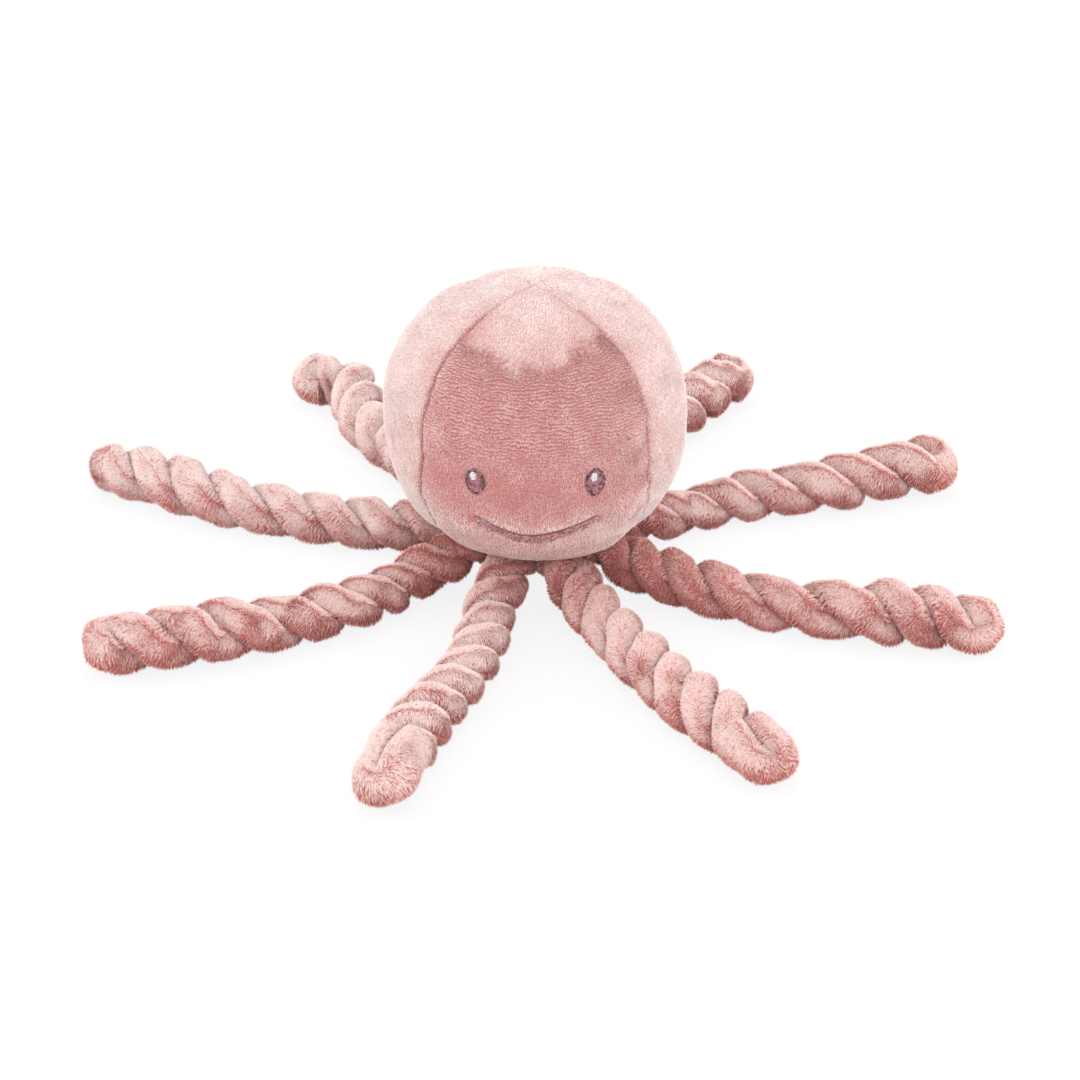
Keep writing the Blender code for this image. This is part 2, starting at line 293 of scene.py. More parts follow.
@dataclass(frozen=True, kw_only=True)
class NapGroundFinish(YarnFinish):
    """Knitted ground under a nap that lies in some places and stands in others."""

    pale_deep: str
    pale_body: str
    seam_painted_shade: str
    seam_line: tuple[float, float]
    seam_share: float

    def colour(self, tree: Tree, yarn: Socket) -> Socket:
        """Colour the ground by its map: how far the nap stands, and painted shade by the distance from the
        seam.

        Args:
            tree: The material's node tree.
            yarn: The socket of the yarns' noise.

        Returns:
            The colour.
        """
        own = add_node(tree, "UVMap", uv_map="cloth").outputs["UV"]
        parts = add_node(tree, "SeparateXYZ", {"Vector": own}).outputs
        lying = dict(zip(self.stops, (self.pale_deep, self.pale_body)))
        lying = add_node(tree, "ValToRGB", {"Fac": yarn}, lying).outputs["Color"]
        shades = {0: parts["X"], 6: lying, 7: super().colour(tree, yarn)}
        colour = add_node(tree, "Mix", shades, data_type="RGBA").outputs[2]
        # Painted shade in the seam's groove, strongest within a third of a millimetre of the seam and gone
        # past about a millimetre
        near = {
            "Value": parts["Y"],
            "From Min": self.seam_line[0],
            "From Max": self.seam_line[1],
            "To Min": self.seam_share,
            "To Max": 0.0,
        }
        near = add_node(tree, "MapRange", near).outputs["Result"]
        shades = {0: near, 6: colour, 7: linear_colour(self.seam_painted_shade)}
        return add_node(tree, "Mix", shades, data_type="RGBA").outputs[2]


@dataclass(frozen=True, kw_only=True)
class ThreadFinish(YarnFinish):
    """Twisted polyester embroidery thread."""

    pitch: float = 0.0005
    relief: float = 0.0001
    stops: tuple[float, float] = (0.4, 0.6)
    detail: float = 2.0
    roughness: float = 0.5
    specular: float = 0.4
    sheen: float = 0.2


@dataclass(frozen=True, kw_only=True)
class PileFinish(TextileFinish):
    """Tufts of polyester microfibre."""

    root: str
    middle: str
    tip: str
    tone_share: float
    specular: float = 0.1
    sheen: float = 0.1
    sheen_tint: str = "#FFF1EE"

    def look(self, tree: Tree) -> dict[str, Any]:
        """Colour each tuft by its own map: its tone across and its height up.

        Args:
            tree: The material's node tree.

        Returns:
            The shader's colour and the tint of its sheen.
        """
        own = add_node(tree, "UVMap", uv_map="OFBake").outputs["UV"]
        parts = add_node(tree, "SeparateXYZ", {"Vector": own}).outputs
        tone = {0: parts["X"], 1: self.tone_share, 2: -0.5 * self.tone_share}
        tone = add_node(tree, "Math", tone, operation="MULTIPLY_ADD").outputs["Value"]
        height = add_node(tree, "Math", {0: tone, 1: parts["Y"]}, operation="ADD").outputs["Value"]
        stops = {0.0: self.root, 0.5: self.middle, 1.0: self.tip}
        colour = add_node(tree, "ValToRGB", {"Fac": height}, stops).outputs["Color"]
        return {"Base Color": colour, "Sheen Tint": linear_colour(self.sheen_tint)}


class Cloth(Enum):
    """The knitted grounds and the filling."""

    # The velour's ground takes the tone of the pile over it and carries painted shade in the grooves of the
    # seams
    VELOUR = NapGroundFinish(
        name="polyester_velour_knit_ground",
        deep="#BE7772",
        body="#D2938E",
        pitch=0.0006,
        relief=0.0004,
        roughness=0.92,
        specular=0.15,
        sheen=0.2,
        pale_deep="#D9A8A2",
        pale_body="#E9C4BE",
        seam_painted_shade="#A96A65",
        seam_line=(0.0003, 0.0011),
        seam_share=0.7,
    )
    # Only glimpses of the fleece's ground show between the tufts and in the creases, darker than the tufts
    # with painted shade
    FLEECE = YarnFinish(
        name="coral_fleece_knit_ground",
        deep="#BC6C66",
        body="#DDA29B",
        pitch=0.0009,
        relief=0.0008,
        roughness=0.95,
        specular=0.1,
        sheen=0.1,
    )
    # Crossing strands of the carded fibre leave hollows in the white mass, with soft grey painted shade in
    # them
    FIBRE = YarnFinish(
        name="polyester_fibre_carded",
        deep="#D6D3CE",
        body="#F2F0EC",
        pitch=0.0012,
        relief=0.001,
        stops=(0.3, 0.7),
        detail=4.0,
        distortion=1.5,
    )


class Pile(Enum):
    """The two piles. A tuft carries painted shade at its root, where light is lost between the tufts, and is
    pale at its tip.
    """

    # Brushed coral fleece is long and open, so that deep roots show between pale tips
    FLEECE = PileFinish(
        name="coral_fleece_brushed_pile", root="#CA766F", middle="#EABBB5", tip="#F9E7E3", tone_share=1.15
    )
    # Sheared velour is short and dense, so that its tone turns with the lie of the nap
    VELOUR = PileFinish(
        name="polyester_velour_sheared_pile", root="#C67B79", middle="#E4BFBC", tip="#FAF2F0", tone_share=0.90
    )


class Thread(Enum):
    """The embroidery threads. Their filaments give a soft gloss, broken by the ply's fine twist.

    The ply of the outline and of the smile is drawn coarser than it is, so that it shows.
    """

    OUTLINE = ThreadFinish(name="embroidery_thread_dark_mauve", deep="#5C303C", body="#AE7E87", pitch=0.0011)
    FILL = ThreadFinish(name="embroidery_thread_mauve", deep="#A36A77", body="#C88F97")
    HIGHLIGHT = ThreadFinish(name="embroidery_thread_pale_grey", deep="#CFC8CD", body="#F6F3F5")
    SMILE = ThreadFinish(name="embroidery_thread_mauve_pink", deep="#A06A70", body="#D6A8A9", pitch=0.0009)


def mesh_from_faces(
    name: str, vertices: Array, faces: Array, maps: dict[str, Array] | None = None, smooth: bool = True
) -> bpy.types.Mesh:
    """Make a mesh from faces that all have the same number of corners.

    Args:
        name: The mesh's name.
        vertices: Places, one row each.
        faces: Vertex numbers, one row for each face.
        maps: Name of each map to its two values for each vertex.
        smooth: Whether the faces are shaded as one curve.

    Returns:
        The mesh.
    """
    mesh = bpy.data.meshes.new(name)
    mesh.vertices.add(len(vertices))
    mesh.vertices.foreach_set("co", np.ascontiguousarray(vertices, np.float32).ravel())
    mesh.loops.add(faces.size)
    mesh.loops.foreach_set("vertex_index", np.ascontiguousarray(faces, np.int32).ravel())
    mesh.polygons.add(len(faces))
    mesh.polygons.foreach_set("loop_start", np.arange(0, faces.size, faces.shape[1], dtype=np.int32))
    mesh.update(calc_edges=True)
    if smooth:
        mesh.shade_smooth()
    for key, values in (maps or {}).items():
        layer = mesh.uv_layers.new(name=key)
        layer.data.foreach_set("uv", np.ascontiguousarray(values[faces.ravel()], np.float32).ravel())
    return mesh


def grid_faces(rows: int, columns: int, closed: bool) -> Array:
    """Quads over a grid of vertices numbered row by row.

    Args:
        rows: Number of rows.
        columns: Number of vertices in a row.
        closed: Whether the last column joins the first.

    Returns:
        Four vertex numbers for each quad.
    """
    spans = columns if closed else columns - 1
    row, column = np.meshgrid(np.arange(rows - 1), np.arange(spans), indexing="ij")
    low = (row * columns + column).ravel()
    after = (row * columns + (column + 1) % columns).ravel()
    return np.stack([low, after, after + columns, low + columns], axis=1)


def grid_mesh(name: str, points: Array, closed: bool, maps: dict[str, Array] | None = None) -> bpy.types.Mesh:
    """Make a smooth mesh over places that stand in rows, closed if the last column joins the first."""
    faces = grid_faces(*points.shape[:2], closed)
    return mesh_from_faces(name, points.reshape(-1, 3), faces, maps)


def stitch_mesh(name: str, runs: list[Array], radius: float, sides: int = 6) -> bpy.types.Mesh:
    """Sweep a round thread along runs of points and join them in one mesh.

    Args:
        name: The mesh's name.
        runs: Points of each stitch, one row each.
        radius: The thread's radius.
        sides: Corners of the thread's section.

    Returns:
        The mesh.
    """
    vertices, faces, count = [], [], 0
    turns = np.arange(sides) * math.tau / sides
    off_axis, blunt_power, end_share = (0.13, 0.31, 0.94), 6, 0.02
    for run in runs:
        ahead = unit(np.gradient(run, axis=0))
        side = unit(np.cross(ahead, off_axis))
        other = np.cross(ahead, side)
        share = np.abs(np.linspace(-1.0, 1.0, len(run)))
        thick = radius * np.sqrt(np.maximum(1 - share**blunt_power, end_share))[:, None, None]
        ring = side[:, None] * np.cos(turns)[None, :, None] + other[:, None] * np.sin(turns)[None, :, None]
        vertices.append((run[:, None] + ring * thick).reshape(-1, 3))
        faces.append(grid_faces(len(run), sides, True) + count)
        count += len(run) * sides
    return mesh_from_faces(name, np.concatenate(vertices), np.concatenate(faces))


def add_piece(name: str, mesh: bpy.types.Mesh, material: Material) -> Piece:
    """Link a mesh to the scene as one piece.

    Args:
        name: The piece's name.
        mesh: Its mesh.
        material: The material all over it.

    Returns:
        The piece.
    """
    mesh.materials.append(material)
    piece = bpy.data.objects.new(name, mesh)
    bpy.context.scene.collection.objects.link(piece)
    LOG.info("made %s", name)
    return piece


def thicken(piece: Piece, thickness: float) -> None:
    """Give a surface the thickness of its cloth, towards its back."""
    cloth = piece.modifiers.new("cloth", "SOLIDIFY")
    cloth.thickness, cloth.offset = thickness, -1.0


@dataclass(frozen=True)
class Tufts:
    """Small leaning tufts that make up a pile, each with two faces like a roof with its ridge outward."""

    length: float
    radius: float
    count: int = 99000
    ridge_share: float = 0.5
    spread: float = 0.12
    turn_spread: float = 0.2
    length_shares: tuple[float, float] = (0.8, 1.15)
    radius_shares: tuple[float, float] = (0.8, 1.25)
    tone_spread: float = 0.12
    tone_limits: tuple[float, float] = (0.02, 0.98)
    heights: tuple[float, ...] = (0.02, 0.10, 0.02, 0.98)

    def mesh(
        self,
        name: str,
        dice: np.random.Generator,
        root: Array,
        normal: Array,
        lean: Array,
        shift: Array,
        share: Array,
        tone: Array,
        lowest: float = 0.0,
    ) -> bpy.types.Mesh:
        """Build the tufts.

        Args:
            name: The mesh's name.
            dice: Seeded source of what is uneven.
            root: Where each tuft stands.
            normal: The cloth's outward direction there.
            lean: Which way the tuft leans.
            shift: How far its tip is drawn aside, to gather with its neighbours.
            share: Its share of the usual length.
            tone: Its tone, from 0 for deep to 1 for pale.
            lowest: The height that no tip goes under.

        Returns:
            The mesh, with tone and height over the cloth in its map.
        """
        lean = unit(lean + self.spread * dice.normal(size=root.shape))
        length = self.length * share * dice.uniform(*self.length_shares, len(root))
        tip = root + lean * length[:, None] + shift
        tip[:, 2] = np.maximum(tip[:, 2], lowest)
        radius = (self.radius * dice.uniform(*self.radius_shares, len(root)))[:, None]
        side = unit(np.cross(lean, normal + self.turn_spread * dice.normal(size=root.shape))) * radius
        ridge = root + normal * radius * self.ridge_share
        vertices = np.stack([root - side, ridge, root + side, tip], axis=1).reshape(-1, 3)
        faces = (np.arange(len(root))[:, None, None] * 4 + np.array([[0, 1, 3], [1, 2, 3]])).reshape(-1, 3)
        tones = np.clip(tone + self.tone_spread * dice.normal(size=len(root)), *self.tone_limits)
        own = np.stack([np.repeat(tones, 4), np.tile(np.array(self.heights), len(root))], axis=1)
        return mesh_from_faces(name, vertices, faces, {"OFBake": own}, smooth=False)


@dataclass(frozen=True)
class HeadForm:
    """The stuffed head: its outline, its seams and the places where the stitches draw it in."""

    centre: tuple[float, float, float]
    radius: float = 0.0525
    half_height: float = 0.0482
    fullness: float = 2.35
    base_radius: float = 0.0260
    base_height: float = 0.0190
    front_seam_angle: float = math.radians(48.8)
    front_seam_flare: float = math.radians(10.0)
    rear_seam_angle: float = math.radians(139.0)
    seam_dip: float = 0.0016
    seam_dip_width: float = 0.0060
    seam_crown_fade: float = 0.0400
    seam_base_fade: float = 0.0120
    seam_groove: float = 0.0012
    seam_groove_width: float = 0.0008
    seam_groove_least: float = 0.1
    seam_groove_shares: tuple[float, ...] = (0.7, 0.45, 0.45, 1.0)
    pucker_height: float = 0.00030
    pucker_length: float = 0.0048
    pucker_reach: float = 0.0060
    pucker_stretch: float = 0.3
    pucker_parting: float = 3.0
    lump_height: float = 0.00030
    lump_length: float = 0.030
    eye_angle: float = math.radians(22.5)
    eye_drop: float = 0.0010
    eye_dimple: float = 0.0008
    eye_dimple_radius: float = 0.0062
    eye_reach: tuple[float, float] = (0.0033, 0.0046)
    mouth_angle: float = math.radians(22.2)
    mouth_corner_drop: float = 0.0154
    mouth_middle_drop: float = 0.0217
    mouth_groove: float = 0.0005
    mouth_groove_width: float = 0.0015
    mouth_lip: float = 0.0007
    mouth_lip_rise: float = 0.0027
    mouth_reach: float = 0.0017
    mouth_reach_rise: float = -0.0002
    mouth_end_reach: float = 0.0018

    @classmethod
    def from_frame(cls) -> "HeadForm":
        """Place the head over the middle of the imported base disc.

        Returns:
            The head's form.
        """
        low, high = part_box("head_base")
        share = (1 - (cls.base_radius / cls.radius) ** cls.fullness) ** (1 / cls.fullness)
        height = cls.base_height + cls.half_height * share
        return cls(centre=((low[0] + high[0]) / 2, (low[1] + high[1]) / 2, height))

    def seam_angles(self, tilt: Array) -> list[Array]:
        """Where the four seams run.

        Args:
            tilt: Angle down from the crown.

        Returns:
            Angles of the seams there, in order from the front right.
        """
        front = self.front_seam_angle + self.front_seam_flare * np.maximum(-np.cos(tilt), 0.0)
        rear = np.full_like(front, self.rear_seam_angle)
        return [front, rear, math.tau - rear, math.tau - front]

    def ring_radius(self, tilt: Array) -> Array:
        """Distance from the head's axis."""
        return self.radius * np.sin(tilt) ** (2 / self.fullness)

    def height(self, tilt: Array) -> Array:
        """Height over the head's centre."""
        return self.half_height * np.sign(np.cos(tilt)) * np.abs(np.cos(tilt)) ** (2 / self.fullness)

    def tilt_at_drop(self, drop: Array) -> Array:
        """The tilt of the level that lies this far under the widest level."""
        share = (np.abs(drop) / self.half_height) ** (self.fullness / 2)
        return np.arccos(-np.sign(drop) * share)

    def tilt_at_radius(self, ring_radius: float) -> float:
        """The tilt at which the upper half of the head is this far from its axis."""
        return math.asin((ring_radius / self.radius) ** (self.fullness / 2))

    def fall(self, tilt: Array) -> Array:
        """Measure down over the surface.

        Args:
            tilt: Angle down from the crown.

        Returns:
            Distance over the cloth from the crown.
        """
        table = np.linspace(0.0, math.pi, 2001)
        steps = np.hypot(np.diff(self.ring_radius(table)), np.diff(self.height(table)))
        return np.interp(tilt, table, np.concatenate([[0.0], np.cumsum(steps)]))

    def mouth_drop(self, angle: Array) -> Array:
        """How far the smile lies under the widest level."""
        share = angle / self.mouth_angle
        return self.mouth_middle_drop + (self.mouth_corner_drop - self.mouth_middle_drop) * share**2

    def from_mouth(self, angle: Array, tilt: Array) -> tuple[Array, Array]:
        """Measure from the line of the smile.

        Args:
            angle: Angle round the head.
            tilt: Angle down from the crown.

        Returns:
            Distance past the nearer end, below zero between the ends, and height over the line.
        """
        across = signed_turn(angle)
        drop = self.mouth_drop(np.clip(across, -self.mouth_angle, self.mouth_angle))
        return (np.abs(across) - self.mouth_angle) * self.radius, drop + self.height(tilt)

    def drawn_in(self, angle: Array, tilt: Array) -> Array:
        """How far seams and stitches draw the surface in, and puckers and the lip lift it.

        Args:
            angle: Angle round the head.
            tilt: Angle down from the crown.

        Returns:
            Depth under the plain outline, in metres.
        """
        ring_radius = self.ring_radius(tilt)
        turns = [np.abs(signed_turn(angle - seam)) for seam in self.seam_angles(tilt)]
        away = np.min(turns, axis=0) * ring_radius
        low_fade = smooth_step((ring_radius - self.base_radius) / self.seam_base_fade)
        fade = np.where(tilt > math.pi / 2, low_fade, smooth_step(ring_radius / self.seam_crown_fade))
        depth = fade * self.seam_dip * bell(away / self.seam_dip_width)
        nearest = np.argmin(turns, axis=0)
        groove = self.seam_groove * np.array(self.seam_groove_shares)[nearest]
        groove_fade = self.seam_groove_least + (1 - self.seam_groove_least) * fade
        depth += groove_fade * groove * bell(away / self.seam_groove_width)

        own = nearest * self.pucker_parting * self.radius
        along = np.stack([own, away * self.pucker_stretch, self.height(tilt)], axis=-1)
        pucker = WaveNoise(self.pucker_length, Seed.PUCKERS).at(along)
        depth += fade * self.pucker_height * pucker * np.exp(-away / self.pucker_reach)
        lumps = WaveNoise(self.lump_length, Seed.HEAD_LUMPS).at(self.plain_point(angle, tilt))
        depth += self.lump_height * lumps

        for side in (-1.0, 1.0):
            right = (signed_turn(angle) - side * self.eye_angle) * self.radius
            far = np.hypot(right, -self.height(tilt) - self.eye_drop)
            depth += self.eye_dimple * bell(far / self.eye_dimple_radius)

        past, over = self.from_mouth(angle, tilt)
        end_fade = bell(np.maximum(past, 0.0) / self.mouth_groove_width)
        depth += end_fade * self.mouth_groove * bell(over / self.mouth_groove_width)
        depth -= end_fade * self.mouth_lip * bell((over - self.mouth_lip_rise) / self.mouth_lip_rise)
        return depth

    def away_from_stitches(self, angle: Array, tilt: Array) -> Array:
        """Measure to the stitches of the face.

        Args:
            angle: Angle round the head.
            tilt: Angle down from the crown.

        Returns:
            Distance from the nearest eye or the smile, below zero among their stitches.
        """
        right = (np.abs(signed_turn(angle)) - self.eye_angle) * self.radius / self.eye_reach[0]
        up = (-self.height(tilt) - self.eye_drop) / self.eye_reach[1]
        eye = (np.hypot(right, up) - 1) * self.eye_reach[0]
        past, over = self.from_mouth(angle, tilt)
        past = np.maximum(past - self.mouth_end_reach, 0.0)
        return np.minimum(eye, np.hypot(past, over - self.mouth_reach_rise) - self.mouth_reach)

    def plain_point(self, angle: Array, tilt: Array) -> Array:
        """A point of the outline, from the head's centre."""
        radius = self.ring_radius(tilt)
        return np.stack([np.sin(angle) * radius, -np.cos(angle) * radius, self.height(tilt)], axis=-1)

    def point(self, angle: Array, tilt: Array, lift: Array | float = 0.0) -> Array:
        """A point of the finished surface in the part's frame.

        Args:
            angle: Angle round the head.
            tilt: Angle down from the crown.
            lift: Height over the surface.

        Returns:
            The place, with x, y and z last.
        """
        angle, tilt = np.broadcast_arrays(np.asarray(angle, float), np.asarray(tilt, float))
        flat = np.sin(tilt)
        outward = np.stack([np.sin(angle) * flat, -np.cos(angle) * flat, np.cos(tilt)], axis=-1)
        rise = np.asarray(lift) - self.drawn_in(angle, tilt)
        return np.asarray(self.centre) + self.plain_point(angle, tilt) + outward * rise[..., None]

    def face_point(self, angle: float, drop: float, right: Array, up: Array, lift: Array | float) -> Array:
        """A point on the face, a little to the right of and above the place at this angle and drop."""
        angle = angle + np.asarray(right) / self.radius
        return self.point(angle, self.tilt_at_drop(drop - np.asarray(up)), lift)


@dataclass(frozen=True)
class Nap:
    """How the head's velour is brushed, over the front of the head.

    Above a bowed, slanting and frayed edge the nap lies back and looks pale. Below it the nap stands
    towards the eye and looks deep, in wavy ribs over the forehead.
    """

    edge: float = 0.0435
    edge_bow: float = 14.6
    edge_slant: float = 0.12
    fray: float = 0.0011
    fray_length: float = 0.009
    strand_fray: float = 0.0014
    strand_length: float = 0.0018
    blend: float = 0.0095
    pale_side: float = 0.038
    pale_share: float = 0.30
    ribs_end: tuple[float, float] = (0.064, 0.086)
    rib_pitch: float = 0.0011
    rib_wave: float = 0.00042
    rib_wave_length: float = 0.010
    lock_pitch: float = 0.0009
    break_length: float = 0.0022
    break_share: float = 0.17

    def standing(self, across: Array, fall: Array, place: Array) -> Array:
        """Share of the nap that stands.

        Args:
            across: Distance over the cloth to the right of the middle of the face.
            fall: Distance over the cloth from the crown.
            place: Place in space, for what is uneven.

        Returns:
            0 where the nap lies and 1 where it stands.
        """
        past = fall - self.edge + self.edge_bow * across**2 + self.edge_slant * across
        past = past + self.fray * WaveNoise(self.fray_length, Seed.NAP_FRAY).at(place)
        past = past + self.strand_fray * WaveNoise(self.strand_length, Seed.NAP_STRANDS).at(place)
        paled = 1 - self.pale_share * smooth_step(across / self.pale_side)
        return smooth_step(0.5 + past / self.blend / 2) * paled

    def gather(
        self, across: Array, fall: Array, place: Array, standing: Array
    ) -> tuple[Array, Array, Array]:
        """How the tufts draw together in ribs and locks.

        Args:
            across: Distance over the cloth to the right of the middle of the face.
            fall: Distance over the cloth from the crown.
            place: Place in space, for what is uneven.
            standing: Share of the nap that stands.

        Returns:
            Distance from the middle of a lock across the cloth, distance from the middle of a rib down
            the cloth, and how far the nap is ribbed, from 0 to 1.
        """
        ribbed = standing * smooth_step((self.ribs_end[1] - fall) / (self.ribs_end[1] - self.ribs_end[0]))
        wave = self.rib_wave * WaveNoise(self.rib_wave_length, Seed.RIB_WAVES).at(place)
        rib_break = self.break_share * WaveNoise(self.break_length, Seed.RIB_BREAKS).at(place)
        lock_break = 2 * self.break_share * WaveNoise(self.break_length, Seed.LOCK_BREAKS).at(place)
        rib = (fall + wave) / self.rib_pitch + rib_break
        lock = across / self.lock_pitch + lock_break
        from_rib, from_lock = rib - np.round(rib), lock - np.round(lock)
        return from_lock * self.lock_pitch * (1 - ribbed), from_rib * self.rib_pitch, ribbed


@dataclass
class Head:
    """Velour cover, base and filling of the head."""

    form: HeadForm
    ground: Material
    pile: Material
    fibre: Material
    nap: Nap = Nap()
    tufts: Tufts = Tufts(length=0.00090, radius=0.00019)
    lying_rise: float = 0.22
    ribbed_rise: float = 0.55
    rib_crowding_share: float = 0.55
    rib_gather: float = 0.9
    # Painted shade under the tips of each rib, paler towards the rib's own lower edge
    rib_painted_shade: float = 0.50
    lock_gather: float = 0.7
    # Painted shade in the gaps between the locks
    lock_gap_painted_shade: float = 0.25
    swerve: float = 0.35
    swerve_length: float = 0.012
    side_tone: float = 0.88
    face_tones: tuple[float, float] = (0.69, 0.22)
    # Painted sheen, paler towards the chin
    chin_painted_sheen: float = 0.40
    chin_fall: float = 0.086
    chin_blend: float = 0.02
    # Painted highlight on the raised lip above the smile
    lip_painted_highlight: float = 0.20
    lip_rise: float = 0.0028
    lip_reach: float = 0.0012
    lip_end_slope: float = 3.0
    # Painted light on the crown, where the top light and sheen fall
    crown_painted_light: float = 0.22
    crown_fall: float = 0.012
    crown_blend: float = 0.02
    # Painted light beside the seams where the nap stands, and painted shade beside them where it lies
    seam_painted_light_and_shade: float = 0.30
    seam_painted_reach: float = 0.006
    patch_tone: float = 0.05
    patch_length: float = 0.010
    pinch: float = 0.0016
    pinch_reaches: tuple[float, float] = (0.3, 1.2)
    # Painted shade on the pinched tufts in the seams' grooves
    pinch_painted_shade: float = 0.80
    pinch_shortening: float = 0.65
    pinch_shares: tuple[float, ...] = (0.55, 0.50, 0.50, 1.0)
    pinch_crown_fade: tuple[float, float] = (0.014, 0.024)
    tick_pitch: float = 0.0013
    tick_wave: float = 2.0
    tick_wave_length: float = 0.01
    stitch_share: float = 0.2
    stitch_clear: float = 0.0009
    rows: int = 210
    columns: int = 190
    edge_crowding_share: float = 0.6
    cloth_thickness: float = 0.0012
    seam_gap: float = 0.00006
    crown_opening: float = 0.0004
    base_rings: int = 24
    base_sides: int = 96
    base_opening_share: float = 0.02
    base_gather: float = 0.0002
    base_gather_length: float = 0.006
    filling_rows: int = 60
    filling_columns: int = 120
    filling_gap: float = 0.0008
    softness: float = 0.9

    def tilts(self, rows: int) -> Array:
        """Levels from the crown to the base."""
        last = math.pi - self.form.tilt_at_radius(self.form.base_radius)
        return np.linspace(self.form.tilt_at_radius(self.crown_opening), last, rows)

    def sides(self, gore: Gore, tilt: Array) -> tuple[Array, Array]:
        """Angles of the seams to the left and right of a panel."""
        seams = self.form.seam_angles(tilt)
        return seams[gore - 1] - (math.tau if gore is Gore.FRONT else 0.0), seams[gore]

    def standing(self, gore: Gore, across: Array, fall: Array, place: Array) -> Array:
        """Share of the nap that stands, which is none away from the front."""
        return self.nap.standing(across, fall, place) if gore is Gore.FRONT else np.zeros_like(across)

    def build_panel(self, gore: Gore) -> Piece:
        """Build one panel of the cover.

        Args:
            gore: Which panel it is.

        Returns:
            The panel.
        """
        tilt = self.tilts(self.rows)
        start, end = self.sides(gore, tilt)
        inset = self.seam_gap / self.form.ring_radius(tilt)
        start, end = start + inset, end - inset
        share = np.linspace(0.0, 1.0, self.columns)
        share = share - self.edge_crowding_share * np.sin(math.tau * share) / math.tau
        angle = start[:, None] + (end - start)[:, None] * share
        points = self.form.point(angle, tilt[:, None])
        ring_radius = self.form.ring_radius(tilt)[:, None]
        across, fall = signed_turn(angle) * ring_radius, self.form.fall(tilt)[:, None]
        standing = self.standing(gore, across, fall, points)
        edge = np.minimum(angle - start[:, None], end[:, None] - angle) * ring_radius
        # The map carries how far the nap stands and the distance from the seam, which the ground turns into
        # painted shade along the seams
        maps = {"cloth": np.stack([standing, edge], axis=-1).reshape(-1, 2)}
        mesh = grid_mesh(f"velour_panel_{gore.side}", points, False, maps)
        mesh.flip_normals()
        panel = add_piece(f"velour_panel_{gore.side}", mesh, self.ground)
        thicken(panel, self.cloth_thickness)
        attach(panel, "head")
        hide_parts(f"head_panel_{gore.side}")
        return panel

    def build_pile(self, gore: Gore) -> Piece:
        """Build the short pile of one panel.

        Args:
            gore: Which panel it is.

        Returns:
            The pile.
        """
        form, dice = self.form, np.random.default_rng(Seed.VELOUR_TUFTS + gore)
        table = self.tilts(500)
        start, end = self.sides(gore, table)
        area = np.cumsum((end - start) * form.ring_radius(table) * np.gradient(form.fall(table)))
        tilt = np.interp(dice.random(self.tufts.count), area / area[-1], table)
        share = dice.random(self.tufts.count)
        low, high = np.interp(tilt, table, start), np.interp(tilt, table, end)
        angle = low + (high - low) * share
        clear = form.away_from_stitches(angle, tilt)
        kept = clear > 0
        tilt, angle, low, high, clear = (values[kept] for values in (tilt, angle, low, high, clear))

        root = form.point(angle, tilt)
        step = 0.002
        right = unit(form.point(angle + step, tilt) - form.point(angle - step, tilt))
        down = unit(form.point(angle, tilt + step) - form.point(angle, tilt - step))
        normal = unit(np.cross(down, right))
        ring_radius, fall = form.ring_radius(tilt), form.fall(tilt)
        across = signed_turn(angle) * ring_radius
        standing = self.standing(gore, across, fall, root)
        from_lock, from_rib, ribbed = self.nap.gather(across, fall, root, standing)

        seam = np.minimum(angle - low, high - angle) * ring_radius
        left_is_nearer = angle - low < high - angle
        nearer = np.where(left_is_nearer, self.pinch_shares[gore - 1], self.pinch_shares[gore])
        wave = self.tick_wave * WaveNoise(self.tick_wave_length, Seed.PINCHES).at(root)
        tick = 0.5 + 0.5 * np.sin(math.tau * fall / self.tick_pitch + wave)
        reach = self.pinch * (self.pinch_reaches[0] + self.pinch_reaches[1] * tick)
        pinched = 1 - smooth_step(seam / reach)
        pinched *= nearer * smooth_step((ring_radius - self.pinch_crown_fade[0]) / self.pinch_crown_fade[1])

        swerve = (self.swerve * WaveNoise(self.swerve_length, Seed.SWERVES).at(root))[:, None]
        stroke = down * (2 * standing - 1)[:, None] if gore is Gore.FRONT else down
        rise = self.lying_rise + (self.ribbed_rise - self.lying_rise) * ribbed
        lean = normal * rise[:, None] + stroke + right * swerve * (1 - ribbed)[:, None]
        crowded = -self.rib_crowding_share * (from_rib + self.nap.rib_pitch / 2) * ribbed
        root = root + down * crowded[:, None]
        drawn_down = self.rib_gather * (from_rib * ribbed + crowded)
        gathered = right * (self.lock_gather * from_lock)[:, None] + down * drawn_down[:, None]
        by_stitches = smooth_step(self.stitch_share + clear / self.stitch_clear)
        length = (1 - self.pinch_shortening * pinched) * by_stitches

        pale, deep = self.face_tones if gore is Gore.FRONT else (self.side_tone, self.side_tone)
        # Deep where the nap stands and pale where it lies, with painted shade in the gaps between the locks
        tone = pale + (deep - pale) * standing - self.lock_gap_painted_shade * np.abs(from_lock) / self.nap.lock_pitch
        # Painted shade: darker at the top of each rib, under the tips of the rib above, and paler towards its
        # lower edge
        tone = tone + self.rib_painted_shade * ribbed * from_rib / self.nap.rib_pitch
        # Painted sheen: paler towards the chin
        tone = tone + self.chin_painted_sheen * smooth_step((fall - self.chin_fall) / self.chin_blend)
        # Painted light: paler near the crown
        tone = tone + self.crown_painted_light * (1 - smooth_step((fall - self.crown_fall) / self.crown_blend))
        past, over = form.from_mouth(angle, tilt)
        over = over + self.lip_end_slope * np.maximum(past, 0.0)
        # Painted highlight on the raised lip just above the smile
        tone = tone + self.lip_painted_highlight * bell((over - self.lip_rise) / self.lip_reach)
